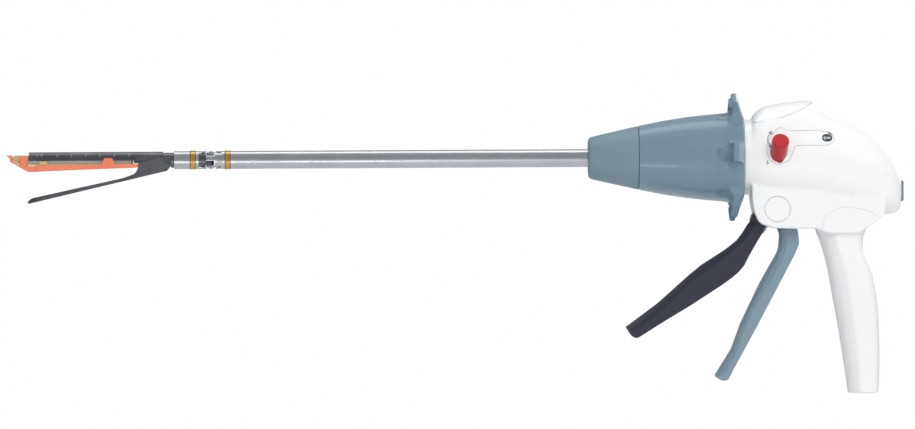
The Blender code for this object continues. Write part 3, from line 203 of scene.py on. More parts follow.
def brushed(name, base, roughness, along=(0.02, 1, 1), bright=1.25):
    """Metal with fine scratches along the way it was drawn or ground, and faint darker clouds."""
    scratch_scale, scratch_strength, scratch_depth, cloud_scale = 2600.0, 0.1, 0.000002, 60.0
    material, tree, shader = node_material(name, base, roughness, 1.0)
    lines = speckle(tree, scratch_scale, 4.0, along)
    vary(tree, shader, lines, "Roughness", roughness * 0.75, roughness * 1.35)
    emboss(tree, shader, lines, scratch_strength, scratch_depth)
    clouds = speckle(tree, cloud_scale)
    dark = tuple(c / bright for c in base)
    tint(tree, shader, clouds, dark, base)
    return material


def shade(work, crease):
    """Smooth faces, with a crease where two of them meet at more than this angle in degrees."""
    for face in work.faces:
        face.smooth = True
    for edge in work.edges:
        edge.smooth = len(edge.link_faces) == 2 and edge.calc_face_angle(0) < radians(crease)


def as_object(name, work, material):
    """Turns a bmesh into an object whose place is in its mesh."""
    data = bpy.data.meshes.new(name)
    work.to_mesh(data)
    work.free()
    piece = bpy.data.objects.new(name, data)
    scene.collection.objects.link(piece)
    data.materials.append(material)
    return piece


def settle(piece, *nodes):
    """Puts a piece on the body of the CAD nodes it stands for, and hides those nodes."""
    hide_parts(*nodes)
    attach(piece, rides_on[nodes[0]])
    return piece


def soften(piece, width, segments=2, angle=crease_angle):
    """Breaks the sharp edges as tumbling or moulding does."""
    edge = piece.modifiers.new("Broken edges", "BEVEL")
    edge.width = width
    edge.segments = segments
    edge.limit_method = "ANGLE"
    edge.angle_limit = radians(angle)
    edge.harden_normals = True
    return piece


def restore(node, name, material, edge):
    """The CAD node's own form with its doubles merged, its edges broken and a real finish."""
    double_gap, flat_angle = 1e-6, 0.6
    work = bmesh.new()
    work.from_mesh(frame["nodes"][node].data)
    bmesh.ops.remove_doubles(work, verts=work.verts, dist=double_gap)
    bmesh.ops.dissolve_limit(work, angle_limit=radians(flat_angle), verts=work.verts, edges=work.edges)
    shade(work, crease_angle)
    piece = as_object(name, work, material)
    if edge:
        soften(piece, edge)
    return settle(piece, node)


drawn_steel = brushed("Drawn stainless tube", (0.52, 0.535, 0.565), 0.28, (0.02, 1, 1), 1.08)
ground_steel = brushed("Ground stainless", (0.58, 0.60, 0.63), 0.3, (1, 0.05, 1))
restore("closure_tube", "shaft_tube", drawn_steel, 0.00008)
restore("distal_closure_tube", "front_tube", drawn_steel, 0.00008)


# The wrist: the spine's ears, the double-pivot links and pins that carry the closure across the bend,
# the thin knife band between them, two polished gold seal rings with thin dark bands beside them that
# are painted shade where grooves would be, and a small beige block in the side window.
def mottled(name, base, roughness, grain, dark, light):
    """A plain finish that drifts a little between two tints."""
    material, tree, shader = node_material(name, base, roughness)
    tint(tree, shader, speckle(tree, grain), dark, light)
    return material


def mesh_piece(name, work, material, crease=crease_angle):
    """Finishes a bmesh as an object, with a closed shape's faces outward."""
    bmesh.ops.recalc_face_normals(work, faces=work.faces)
    shade(work, crease)
    return as_object(name, work, material)


def skinned(name, rings, material=None):
    """Sections bridged one to the next, with both ends filled."""
    work = bmesh.new()
    loops = []
    for ring in rings:
        corners = [work.verts.new(point) for point in ring]
        loops.append([work.edges.new((a, b)) for a, b in zip(corners, corners[1:] + corners[:1])])
    for first, second in zip(loops, loops[1:]):
        bmesh.ops.bridge_loops(work, edges=first + second)
    for end in (loops[0], loops[-1]):
        bmesh.ops.contextual_create(work, geom=end)
    return mesh_piece(name, work, material)


def spun(points, steps=96):
    """A closed profile of (x, r) in millimetres, turned round the shaft's axis."""
    work = bmesh.new()
    corners = [work.verts.new((x / 1000, 0, axis_z + r / 1000)) for x, r in points]
    edges = [work.edges.new((a, b)) for a, b in zip(corners, corners[1:] + corners[:1])]
    bmesh.ops.spin(work, geom=corners + edges, cent=(0, 0, axis_z), axis=(1, 0, 0), angle=2 * pi,
                   steps=steps, use_merge=True)
    bmesh.ops.remove_doubles(work, verts=work.verts, dist=1e-7)
    return work


def block(name, low, high, material=None):
    """A plain block between two corners in millimetres."""
    work = bmesh.new()
    bmesh.ops.create_cube(work, size=1.0)
    bmesh.ops.scale(work, vec=[abs(b - a) / 1000 for a, b in zip(low, high)], verts=work.verts)
    bmesh.ops.translate(work, vec=[(a + b) / 2000 for a, b in zip(low, high)], verts=work.verts)
    return mesh_piece(name, work, material)


polished_gold = brushed("Gold seal ring", (0.80, 0.45, 0.09), 0.2, (1, 0.05, 0.05), 1.5)
# A dark finish for the thin bands beside the gold rings: painted shade where grooves would be.
painted_groove_shade = mottled("Painted groove shade", (0.055, 0.05, 0.05), 0.5, 400.0, (0.045, 0.04, 0.04),
                   (0.065, 0.06, 0.058))
restore("spine", "spine_bar", ground_steel, 0.0001)
for node in ("upper_link", "lower_link", "upper_articulation_pin", "lower_articulation_pin"):
    restore(node, node + "_turned", ground_steel, 0.00006)

strip_low, strip_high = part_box("firing_strip")
tail_start = -0.4468
bend_steps = [-0.4640 + 0.0008 * k for k in range(20)]


def band(name, stations):
    """A stretch of the knife band with a section at each station."""
    section = ((strip_low.y, strip_low.z), (strip_high.y, strip_low.z), (strip_high.y, strip_high.z),
               (strip_low.y, strip_high.z))
    return skinned(name, [[(x, y, z) for y, z in section] for x in stations], ground_steel)


settle(band("knife_band", [strip_low.x, -0.4940, -0.4821]), "firing_strip")
band_bend = band("knife_band_bend", [-0.4819, -0.4730, -0.4660] + bend_steps + [-0.4470])
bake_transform(band_bend)
band_tail = band("knife_band_tail", [tail_start, -0.4160, strip_high.x])
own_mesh(band_tail)
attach(band_tail, rides_on["spine"])

ring_bore, ring_corner, ring_groove, groove_inset = 6.35, 0.12, 0.1, 1.0
shade_band_bore, shade_band_outside, shade_band_width, shade_band_gap = 6.3, 6.5, 0.5, 0.12
for node in ("gold_ring_front", "gold_ring_rear"):
    low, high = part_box(node)
    start, end = low.x * 1000, high.x * 1000
    outside = (high.z - axis_z) * 1000
    profile = [(start, ring_bore), (start, outside - ring_corner), (start + ring_corner, outside)]
    for middle in (start + groove_inset, end - groove_inset):
        profile += [(middle - ring_groove, outside), (middle, outside - ring_groove),
                    (middle + ring_groove, outside)]
    profile += [(end - ring_corner, outside), (end, outside - ring_corner), (end, ring_bore)]
    ring = mesh_piece(node + "_band", spun(profile), polished_gold, 50)
    settle(ring, node)
    # Each thin dark band beside the ring is painted shade where a groove would be.
    for shade_band_start in (start - shade_band_gap - shade_band_width, end + shade_band_gap):
        shade_band_end = shade_band_start + shade_band_width
        shade_band_profile = [(shade_band_start, shade_band_bore), (shade_band_start, shade_band_outside), (shade_band_end, shade_band_outside),
                       (shade_band_end, shade_band_bore)]
        shade_band = mesh_piece(node + "_groove_shade", spun(shade_band_profile), painted_groove_shade)
        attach(shade_band, rides_on[node])

beige = mottled("Beige joint block", (0.52, 0.46, 0.40), 0.5, 300.0, (0.47, 0.42, 0.36), (0.56, 0.50, 0.43))
joint_block = block("joint_block", (-451.0, -5.6, 161.6), (-446.2, -4.4, 164.6), beige)
soften(joint_block, 0.0003, 3)
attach(joint_block, rides_on["closure_tube"])

# The jaw's cartridge channel: a folded steel trough, blackened and laser-marked with a row of short
# light ticks, with the anvil's hinge pin and the pressed pan.
blackened = brushed("Blackened channel steel", (0.16, 0.165, 0.185), 0.38, (0.03, 1, 1), 1.3)
channel = restore("cartridge_channel", "channel", blackened, 0.00015)
restore("anvil_pin", "anvil_hinge_pin", blackened, 0.0001)
restore("cartridge_pan", "pan", brushed("Pressed pan", (0.62, 0.62, 0.60), 0.35), 0.00004)


def plastic(name, colour, roughness, fleck=0.94, grain=1400.0, depth=0.00001, coat=0.0):
    """Moulded plastic: a faint spark-eroded grain and a slight drift of tone across the part."""
    grain_strength, gloss_scale, tone_scale, coat_roughness = 0.25, 90.0, 22.0, 0.08
    material, tree, shader = node_material(name, colour, roughness)
    texture = speckle(tree, grain, 2.0)
    emboss(tree, shader, texture, grain_strength, depth)
    vary(tree, shader, speckle(tree, gloss_scale), "Roughness", roughness * 0.85, roughness * 1.2)
    tint(tree, shader, speckle(tree, tone_scale, 2.0), tuple(c * fleck for c in colour), colour)
    if coat:
        shader.inputs["Coat Weight"].default_value = coat
        shader.inputs["Coat Roughness"].default_value = coat_roughness
    return material


def set_shape(piece):
    """Makes what a piece's modifiers have done its own mesh."""
    bpy.context.view_layer.update()
    view = bpy.context.evaluated_depsgraph_get()
    shaped = bpy.data.meshes.new_from_object(piece.evaluated_get(view))
    piece.modifiers.clear()
    piece.data = shaped


def printed(name, shapes, material, on, node):
    """Thin ink, or the painted shadow of a moulded line: flat shapes in the side view, laid down on a piece's
    near side.
    """
    start_y, ink_height = -0.08, 0.00004
    work = bmesh.new()
    for shape in shapes:
        corners = [work.verts.new((x / 1000, start_y, z / 1000)) for x, z in shape]
        work.faces.new(corners)
    bmesh.ops.remove_doubles(work, verts=work.verts, dist=1e-7)
    ink = mesh_piece(name, work, material, 60)
    lay = ink.modifiers.new("Laid on", "SHRINKWRAP")
    lay.wrap_method = "PROJECT"
    lay.use_project_x = lay.use_project_z = False
    lay.use_project_y = True
    lay.use_positive_direction = True
    lay.use_negative_direction = False
    lay.target = on
    lay.offset = ink_height
    set_shape(ink)
    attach(ink, rides_on[node])
    return ink


def stroke(points, width, closed=False, step=0.7):
    """A drawn line as a row of small quads, short enough to lie on a curved face."""
    track = []
    ends = zip(points, points[1:] + points[:1]) if closed else zip(points, points[1:])
    for (ax, az), (bx, bz) in ends:
        count = max(1, int(((bx - ax) ** 2 + (bz - az) ** 2) ** 0.5 / step))
        track += [(ax + (bx - ax) * k / count, az + (bz - az) * k / count) for k in range(count)]
    if not closed:
        track.append(points[-1])
    rails = []
    for k, here in enumerate(track):
        back = track[k - 1] if k or closed else here
        ahead = track[(k + 1) % len(track)] if k < len(track) - 1 or closed else here
        way = (Vector(ahead) - Vector(back)).normalized() * width / 2
        rails.append(((here[0] - way.y, here[1] + way.x), (here[0] + way.y, here[1] - way.x)))
    joined = list(zip(rails, rails[1:] + rails[:1])) if closed else list(zip(rails, rails[1:]))
    return [(a[0], b[0], b[1], a[1]) for a, b in joined]


mark_low, mark_high, mark_width, mark_step = 168.1, 170.2, 0.4, 0.2
pale_mark = mottled("Laser mark", (0.36, 0.37, 0.39), 0.6, 900.0, (0.30, 0.31, 0.33), (0.38, 0.39, 0.41))
for x in (-576.9, -573.9, -563.1, -553.0, -543.1, -533.2, -523.1, -513.0):
    tick = stroke([(x, mark_low), (x, mark_high)], mark_width, step=mark_step)
    printed("length_mark", tick, pale_mark, channel, "cartridge_channel")


# The cartridge: a tan moulding with six rows of staple pockets in its deck, held in the channel. The
# knife and the wedge sled that drives the staples run inside it.
def whittle(piece, tools, operation="DIFFERENCE"):
    """Takes the tool shapes away from a piece, joins them to it, or keeps what they share."""
    for tool in tools:
        change = piece.modifiers.new("Shape", "BOOLEAN")
        change.operation = operation
        change.solver = "EXACT"
        change.object = tool
    set_shape(piece)
    for tool in tools:
        bpy.data.objects.remove(tool, do_unlink=True)
    return piece


tan = plastic("Tan cartridge", (0.60, 0.47, 0.22), 0.45)
cartridge = restore("cartridge_body", "cartridge", tan, 0.00008)
pocket_start, pocket_pitch, pockets_a_row = -578.0, 4.0, 16
pocket_size = (0.003, 0.0005, 0.0016)
deck_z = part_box("cartridge_body")[0].z
pockets = bmesh.new()
for row, y in enumerate((-4.2, -2.9, -1.6, 1.6, 2.9, 4.2)):
    stagger = pocket_pitch / 2 if row in (1, 4) else 0.0
    for k in range(pockets_a_row):
        x = pocket_start + pocket_pitch * k + stagger
        made = bmesh.ops.create_cube(pockets, size=1.0)
        bmesh.ops.scale(pockets, verts=made["verts"], vec=pocket_size)
        bmesh.ops.translate(pockets, verts=made["verts"], vec=(x / 1000, y / 1000, deck_z))
whittle(cartridge, [mesh_piece("staple_pockets", pockets, None)])
restore("wedge_sled", "sled", plastic("Sled plastic", (0.30, 0.42, 0.30), 0.4), 0.00005)
restore("knife", "knife_blade", ground_steel, 0.00003)

# The anvil: the lower jaw here, a long machined plate on two ears, blackened like the channel but a
# little paler, hinged under the channel's rear end, with two bright rivets on its near side.
rubbed = brushed("Anvil steel", (0.19, 0.195, 0.215), 0.36, (0.03, 1, 1), 1.4)
restore("anvil", "anvil_plate", rubbed, 0.0002)


def bar(name, start, end, radius, steps=48, material=None):
    """A round bar between two points in millimetres."""
    start, end = Vector(start), Vector(end)
    work = bmesh.new()
    bmesh.ops.create_cone(work, cap_ends=True, segments=steps, radius1=radius / 1000, radius2=radius / 1000,
                          depth=(end - start).length / 1000)
    bmesh.ops.rotate(work, verts=work.verts, matrix=(end - start).to_track_quat("Z", "Y").to_matrix())
    bmesh.ops.translate(work, verts=work.verts, vec=(start + end) / 2000)
    return mesh_piece(name, work, material)


rivet_r, rivet_face_y, rivet_root_y = 0.42, -5.88, -5.2
worn = brushed("Bright worn steel", (0.55, 0.56, 0.58), 0.3)
for x, z in ((-516.6, 153.3), (-569.7, 140.0)):
    rivet = bar("anvil_rivet", (x, rivet_face_y, z), (x, rivet_root_y, z), rivet_r, 24, worn)
    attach(rivet, rides_on["anvil"])


# The shipping retainer: a soft salmon moulding that snaps over the channel and covers the staples,
# with a nose strap and two spring arms that the user pinches to pull it off. A thin skirt along each
# side gives it its full height.
def slab(name, outline, half_width, material=None, middle_y=0.0, rim=0.0, rim_steps=3):
    """An outline in the side view, in millimetres, thickened to both sides of its plane."""
    work = bmesh.new()
    corners = [work.verts.new((x / 1000, (middle_y - half_width) / 1000, z / 1000)) for x, z in outline]
    face = work.faces.new(corners)
    pushed = bmesh.ops.extrude_face_region(work, geom=[face])
    moved = [v for v in pushed["geom"] if isinstance(v, bmesh.types.BMVert)]
    bmesh.ops.translate(work, vec=(0, 2 * half_width / 1000, 0), verts=moved)
    if rim:
        rims = [e for e in work.edges if abs(e.verts[0].co.y - e.verts[1].co.y) < 1e-9]
        bmesh.ops.bevel(work, geom=rims, offset=rim / 1000, segments=rim_steps, profile=0.5, material=-1,
                        affect="EDGES", clamp_overlap=True)
    return mesh_piece(name, work, material)


faces_down = -0.5
salmon = plastic("Salmon retainer", (0.93, 0.24, 0.13), 0.36, 0.9)
retainer = restore("staple_retainer", "retainer", salmon, 0.00015)
# Faces turned downward take a darker copy of the salmon: painted shade on the underside.
retainer.data.materials.append(plastic("Salmon with painted underside shade", (0.72, 0.28, 0.30), 0.4, 0.9))
for face in retainer.data.polygons:
    if face.normal.z < faces_down:
        face.material_index = 1
skirt_half, skirt_y = 0.25, 6.5
skirt_outline = [(-578.0, 162.2), (-535.0, 162.4), (-506.6, 163.1), (-506.6, 160.6), (-512.0, 160.3),
                 (-578.0, 158.2)]
for side in (-1, 1):
    skirt = slab("retainer_skirt", skirt_outline, skirt_half, salmon, side * skirt_y)
    soften(skirt, 0.0001, 2, 40)
    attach(skirt, rides_on["staple_retainer"])

# The rotating nozzle: a matte front cone and a glossy bell that ends in six finger fins, both moulded
# in grey-blue plastic. The bell slides back on the hub against its spring.
matte_blue = plastic("Matte grey-blue nozzle", (0.172, 0.252, 0.296), 0.52, 0.985, 2600.0, 0.000006)
gloss_blue = plastic("Glossy grey-blue bell", (0.155, 0.245, 0.305), 0.34, 0.985, 900.0, 0.0000015, 0.3)
cone = mesh_piece("nozzle_cone", spun([
    (-192.0, 6.65), (-192.0, 12.2), (-191.8, 13.1), (-191.3, 13.8), (-190.6, 14.35), (-189.4, 14.9),
    (-157.5, 22.16), (-157.22, 22.1), (-157.17, 21.9), (-157.17, 19.7), (-152.0, 19.7), (-152.0, 18.3),
    (-162.1, 18.3), (-189.0, 12.8), (-189.0, 6.65)]), matte_blue, 30)
settle(cone, "nozzle_front")
restore("nozzle_hub", "hub_bearing", plastic("Grey bearing", (0.33, 0.34, 0.36), 0.5), 0.0002)
coil = restore("collar_spring", "return_coil", ground_steel, 0)
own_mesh(coil)

bell_profile = [
    (-156.9, 21.9), (-156.6, 22.35), (-140.6, 25.6), (-123.1, 28.3), (-110.0, 29.75), (-99.0, 30.75),
    (-96.2, 31.1), (-95.0, 31.55), (-94.1, 32.4), (-93.5, 33.9), (-93.1, 36.5), (-92.8, 40.4),
    (-92.65, 44.6), (-92.4, 46.0), (-91.8, 46.5), (-89.4, 46.55), (-88.9, 46.2), (-88.6, 45.6),
    (-87.1, 40.6), (-85.5, 35.4), (-84.3, 31.6), (-83.4, 28.8), (-83.2, 28.0), (-83.2, 27.1),
    (-100.0, 27.5), (-123.1, 26.0), (-140.6, 23.3), (-156.9, 20.0)]
bell_crease = 30
bell = mesh_piece("nozzle_bell", spun(bell_profile, 180), gloss_blue, bell_crease)
fins, first_fin, root_r, valley_front, valley_rear = 6, 4.7, 31.4, -0.0985, -0.0770
floor_arc = [(root_r, radians(step * 1.75)) for step in range(-6, 7)]
flank_points = [(31.5, 12.6), (31.9, 14.7), (32.7, 16.6), (34.0, 18.3), (35.8, 19.7), (38.2, 20.7),
                (41.5, 21.3), (46.8, 21.7), (56.0, 22.4)]
flank = [(r, radians(turn)) for r, turn in flank_points]
valley = [(r, -turn) for r, turn in reversed(flank)] + floor_arc + flank
cutters = []
for i in range(fins):
    turn = radians(first_fin + 360 / fins * (i + 0.5))
    ends = [[(x, -r * cos(turn + a) / 1000, axis_z + r * sin(turn + a) / 1000) for r, a in valley]
            for x in (valley_front, valley_rear)]
    cutters.append(skinned("valley", ends, gloss_blue))
hollow_r, hollow_x, hollow_reach = 0.0095, -0.0987, 0.0383
for i in range(fins):
    turn = radians(first_fin + 360 / fins * i)
    work = bmesh.new()
    bmesh.ops.create_uvsphere(work, u_segments=96, v_segments=64, radius=hollow_r)
    bmesh.ops.rotate(work, verts=work.verts, matrix=Matrix.Rotation(pi / 2, 3, "Y"))
    hollow_place = (hollow_x, -hollow_reach * cos(turn), axis_z + hollow_reach * sin(turn))
    bmesh.ops.translate(work, verts=work.verts, vec=hollow_place)
    cutters.append(mesh_piece("finger_hollow", work, gloss_blue))
whittle(bell, cutters)
bell_finish = bmesh.new()
bell_finish.from_mesh(bell.data)
shade(bell_finish, bell_crease)
bell_finish.to_mesh(bell.data)
bell_finish.free()
soften(bell, 0.0004, 3, 40)
settle(bell, "nozzle_collar")


# The handle shell: two glossy white mouldings that meet on the middle plane, screwed from inside,
# with an egg-shaped barrel, a flat-sided trigger box and a grip whose front is a wide soft chamfer.
def along_stations(stations, extra):
    """The stations with smooth ones between them, so that the skin has no creases across it."""
    full = []
    for i in range(len(stations) - 1):
        before, first, second = stations[max(i - 1, 0)], stations[i], stations[i + 1]
        after = stations[min(i + 2, len(stations) - 1)]
        for k in range(extra):
            t = k / extra
            step = []
            for a, b, c, d in zip(before, first, second, after):
                bend = (2 * a - 5 * b + 4 * c - d) * t * t + (3 * b - a - 3 * c + d) * t ** 3
                value = 0.5 * (2 * b + (c - a) * t + bend)
                step.append(min(max(value, min(b, c)), max(b, c)))
            full.append(step)
    full.append(list(stations[-1]))
    return full


def rounded_outline(points):
    """Turns (x, z, radius) corners into an outline with arcs."""
    least_radius, arc_step, most_reach, least_slope = 0.05, radians(9), 0.45, 1e-6
    outline = []
    for i, (x, z, radius) in enumerate(points):
        corner = Vector((x, z))
        before = Vector(points[i - 1][:2]) - corner
        after = Vector(points[(i + 1) % len(points)][:2]) - corner
        half_turn = before.angle(after) / 2
        reach = min(radius / max(sin(half_turn) / cos(half_turn), least_slope),
                    before.length * most_reach, after.length * most_reach)
        radius = reach * sin(half_turn) / max(cos(half_turn), least_slope)
        if radius < least_radius:
            outline.append((x, z))
            continue
        start, end = corner + before.normalized() * reach, corner + after.normalized() * reach
        inward = (before.normalized() + after.normalized()).normalized()
        centre = corner + inward * radius / sin(half_turn)
        first = atan2(start.y - centre.y, start.x - centre.x)
        sweep = (atan2(end.y - centre.y, end.x - centre.x) - first + pi) % (2 * pi) - pi
        steps = max(2, int(abs(sweep) / arc_step))
        turns = [first + sweep * k / steps for k in range(steps + 1)]
        outline += [(centre.x + radius * cos(turn), centre.y + radius * sin(turn)) for turn in turns]
    return outline


def handle_solid(name, inset, fine):
    """Barrel, trigger box and grip as three overlapping solids in one mesh."""
    sides = 96 if fine else 32
    between = 4 if fine else 1
    barrel = [(-97.0, 165.5, 26.3, 191.8, 139.2), (-79.0, 165.5, 26.3, 191.8, 139.2),
              (-76.5, 165.3, 26.6, 195.2, 138.0), (-70.2, 165.0, 27.0, 200.3, 136.0),
              (-62.0, 164.5, 27.0, 202.3, 134.0), (-49.4, 164.0, 27.0, 204.0, 133.0),
              (-37.0, 163.5, 26.8, 204.9, 132.0), (-32.5, 163.0, 26.6, 203.3, 131.0),
              (-26.9, 161.5, 26.3, 199.0, 129.5), (-17.3, 159.5, 25.8, 192.9, 127.5),
              (-5.2, 156.5, 25.0, 187.7, 125.5), (6.9, 153.0, 23.5, 181.3, 124.5),
              (14.8, 150.0, 21.5, 174.1, 124.8), (21.3, 147.0, 18.5, 166.0, 125.6),
              (25.0, 144.0, 14.5, 158.0, 127.5), (26.7, 142.0, 10.5, 152.0, 130.5)]
    barrel[0] = (barrel[0][0] + inset, *barrel[0][1:])
    barrel[-1] = (barrel[-1][0] - inset, *barrel[-1][1:])
    rings = []
    for x, middle, half, top, bottom in along_stations(barrel, between):
        ring = []
        for i in range(sides):
            turn = 2 * pi * (i + 0.5) / sides
            rise = top - inset - middle if sin(turn) > 0 else middle - bottom - inset
            ring.append((x / 1000, (half - inset) * cos(turn) / 1000, (middle + rise * sin(turn)) / 1000))
        rings.append(ring)
    whole = skinned(name, rings)
    corners = [(-78.3, 150.0, 0.1), (-78.3, 135.5, 3.0), (-76.8, 127.0, 8.0), (-73.0, 118.5, 9.0),
               (-60.0, 115.6, 20.0), (-44.0, 115.2, 0.1), (-33.0, 115.4, 0.1), (-25.0, 112.0, 0.1),
               (-4.0, 112.0, 0.1), (4.0, 117.0, 6.0), (14.0, 125.0, 4.0), (16.0, 136.0, 0.1),
               (8.0, 150.0, 0.1)]
    box_middle_x, box_middle_z, box_half, box_rim = -32, 133, 20.0, 4.5
    drawn_in = [(x - inset if x > box_middle_x else x + inset,
                 z - inset if z > box_middle_z else z + inset, r) for x, z, r in corners]
    trigger_box = slab(name + "_box", rounded_outline(drawn_in), box_half - inset, None, 0, box_rim - inset,
                       5 if fine else 1)
    grip = [(0.0, -10.4, 8.4, 12.6), (0.6, -10.9, 9.6, 13.4), (1.8, -11.2, 10.3, 13.8),
            (20.0, -13.6, 11.2, 14.6), (46.6, -17.7, 10.9, 15.0), (67.6, -21.5, 9.3, 15.0),
            (88.5, -25.2, 5.1, 15.0), (103.0, -29.0, 0.0, 15.6), (113.0, -33.0, 1.4, 17.0),
            (124.0, -40.0, 8.0, 18.6)]
    if inset:
        grip = [(inset, *grip[2][1:])] + grip[3:]
    half_section = [(0.0, 0.0), (0.006, 0.16), (0.025, 0.32), (0.06, 0.48), (0.12, 0.64), (0.22, 0.81),
                    (0.38, 0.985), (0.42, 1.0), (0.6, 1.0), (0.78, 0.98), (0.88, 0.9), (0.95, 0.74),
                    (0.99, 0.42), (1.0, 0.0)]
    section = along_stations(half_section, 3) if fine else half_section
    rings = []
    for z, front, rear, half in along_stations(grip, between):
        length = rear - front - 2 * inset
        right = [((front + inset + length * u) / 1000, (half - inset) * v / 1000, z / 1000)
                 for u, v in section]
        rings.append(right + [(x, -y, z) for x, y, z in reversed(right[1:-1])])
    handle = skinned(name + "_grip", rings)
    for part in (trigger_box, handle):
        join_in = whole.modifiers.new("Moulded as one", "BOOLEAN")
        join_in.operation = "UNION"
        join_in.solver = "EXACT"
        join_in.object = part
    if fine:
        skin = whole.modifiers.new("Even skin", "REMESH")
        skin.mode = "VOXEL"
        skin.voxel_size = 0.0009
        relax = whole.modifiers.new("Soft creases", "SMOOTH")
        relax.factor = 0.5
        relax.iterations = 8
    set_shape(whole)
    for part in (trigger_box, handle):
        bpy.data.objects.remove(part, do_unlink=True)
    return whole


def twin(source, name, material=None):
    """Another object with its own copy of a mesh, in its own finish where one is given."""
    other = bpy.data.objects.new(name, source.data.copy())
    scene.collection.objects.link(other)
    if material:
        other.data.materials.clear()
        other.data.materials.append(material)
    return other


def capsule(centre, half_long, half_wide, upright=False):
    """Outline of a slot with round ends, in the side view."""
    steps = 12
    ends = []
    for side in (1, -1):
        for k in range(steps + 1):
            turn = -pi / 2 + pi * k / steps
            reach = half_long - half_wide + half_wide * cos(turn)
            ends.append((side * reach, side * half_wide * sin(turn)))
    return [(centre[0] + (-b if upright else a), centre[1] + (a if upright else b)) for a, b in ends]


def cover_tool(grow):
    """Everything above the line where the top cover meets the shell."""
    front, rear, top = -77.0 - grow, -34.6 + grow, 215
    seam = [(front, 189.6), (-69.4, 190.3), (-57.4, 192.9), (-49.4, 195.7), (-41.3, 199.7), (rear, 204.2)]
    return slab("cover_line", [(x, z - grow) for x, z in seam] + [(rear, top), (front, top)], 40)


wall, half_gap, cover_gap = 2.2, 0.06, 0.1
pin_x, pin_z, window_at = -60.6, 129.1, (-26.0, 178.6)
slot_outline = [(-82, 128.6), (-82, 108), (-32.4, 108), (-32.4, 119.5), (-60, 128.6)]
white = plastic("Gloss white housing", (0.865, 0.868, 0.865), 0.32, 0.992, 700.0, 0.000001, 0.25)
outer = handle_solid("outer_form", 0.0, True)
inner = handle_solid("inner_form", wall, False)
for side, node in ((-1, "left_housing"), (1, "right_housing")):
    half = twin(outer, node.replace("housing", "shell"), white)
    tools = [block("other_half", (-120, side * half_gap, -20), (60, -side * 60, 240)),
             cover_tool(cover_gap),
             twin(inner, "hollow"),
             bar("neck_hole", (-99, 0, 165.5), (-93, 0, 165.5), 9.8),
             slab("trigger_slot", slot_outline, 9.0),
             block("button_hole", (20, -5.8, 134.0), (32, 5.8, 149.2)),
             bar("cap_seat", (pin_x, side * 19.1, pin_z), (pin_x, side * 29, pin_z), 9.05, 96)]
    if side < 0:
        tools += [slab("window", capsule(window_at, 3.7, 2.6), 12, None, -30),
                  slab("switch_slot", capsule((-59.4, 166.0), 4.7, 2.7, True), 8, None, -28)]
    whittle(half, tools)
    for face in half.data.polygons:
        face.use_smooth = True
    settle(half, node)
    if side < 0:
        left_shell = half

# The top cover: a white moulded cap over the override lever, cut to the shell's line. It lifts
# straight off, and it is pocketed inside to leave the lever room.
cover = twin(outer, "top_cover", white)
whittle(cover, [cover_tool(-cover_gap)], "INTERSECT")
whittle(cover, [twin(inner, "hollow"), block("lever_room", (-68.5, -6.6, 180), (-40, 6.6, 199.5))])
for face in cover.data.polygons:
    face.use_smooth = True
settle(cover, "override_cover")
for spare in (outer, inner):
    bpy.data.objects.remove(spare, do_unlink=True)

# The pivot caps: two flat white discs pressed into round seats in the shells, one over each end of
# the levers' cross pin. Their rims are fully rounded.
cap_inner_y, cap_outer_y, cap_r, cap_round = 19.25, 20.3, 8.8, 0.00053
for node in ("left_pivot_cap", "right_pivot_cap"):
    side = -1 if node.startswith("left") else 1
    inner_end, outer_end = (pin_x, side * cap_inner_y, pin_z), (pin_x, side * cap_outer_y, pin_z)
    cap = bar(node + "_disc", inner_end, outer_end, cap_r, 96, white)
    soften(cap, cap_round, 3)
    settle(cap, node)

# The prints and fine seams on the left shell: the thin frame round the knob and the window, a turning
# arrow and a push arrow beside it, and a painted shadow line along the soft seam where the grip moulding
# meets the shell.
grey_ink = mottled("Grey print", (0.30, 0.32, 0.35), 0.55, 500.0, (0.26, 0.28, 0.31), (0.32, 0.34, 0.37))
seam_shade = mottled("Seam shadow", (0.42, 0.43, 0.45), 0.8, 300.0, (0.38, 0.39, 0.41), (0.45, 0.46, 0.48))
panel = rounded_outline([
    (-68.6, 170.6, 2), (-68.0, 175.8, 4), (-61.6, 184.6, 3), (-57.8, 186.2, 3), (-53.6, 183.6, 1.5),
    (-31.4, 183.9, 3), (-21.6, 180.6, 4), (-20.6, 176.4, 4), (-25.4, 173.4, 3), (-48.4, 173.4, 2),
    (-50.2, 168.6, 4), (-53.0, 162.4, 5), (-60.8, 159.8, 4), (-66.6, 163.4, 4)])
printed("panel_line", stroke(panel, 0.28, True), grey_ink, left_shell, "left_housing")
turn_line = [(-65.8, 173.2), (-67.6, 176.4), (-67.4, 179.6), (-65.6, 182.2)]
turn_heads = [[(-66.3, 171.4), (-64.0, 173.8), (-67.2, 174.0)],
              [(-64.2, 183.8), (-67.4, 182.6), (-64.6, 180.6)]]
printed("turn_arrow", stroke(turn_line, 0.8) + turn_heads, grey_ink, left_shell, "left_housing")
push_line = [(-67.8, 163.2), (-67.8, 161.4)]
push_head = [(-68.9, 161.6), (-66.7, 161.6), (-67.8, 160.0)]
printed("push_arrow", stroke(push_line, 0.6) + [push_head], grey_ink, left_shell, "left_housing")
grip_line = [(-29.3, 114.9), (-28.6, 118.9), (-27.7, 121.9), (-26.2, 124.6), (-23.7, 126.7), (-20.6, 128.6),
             (-17.3, 129.6), (-11.5, 130.1), (-5.6, 129.5), (0.1, 128.4), (5.4, 126.2), (9.8, 123.1)]
# The grip seam is a grey ribbon of painted shadow, standing in for the shade of a groove.
printed("grip_seam", stroke(grip_line, 0.16), seam_shade, left_shell, "left_housing")

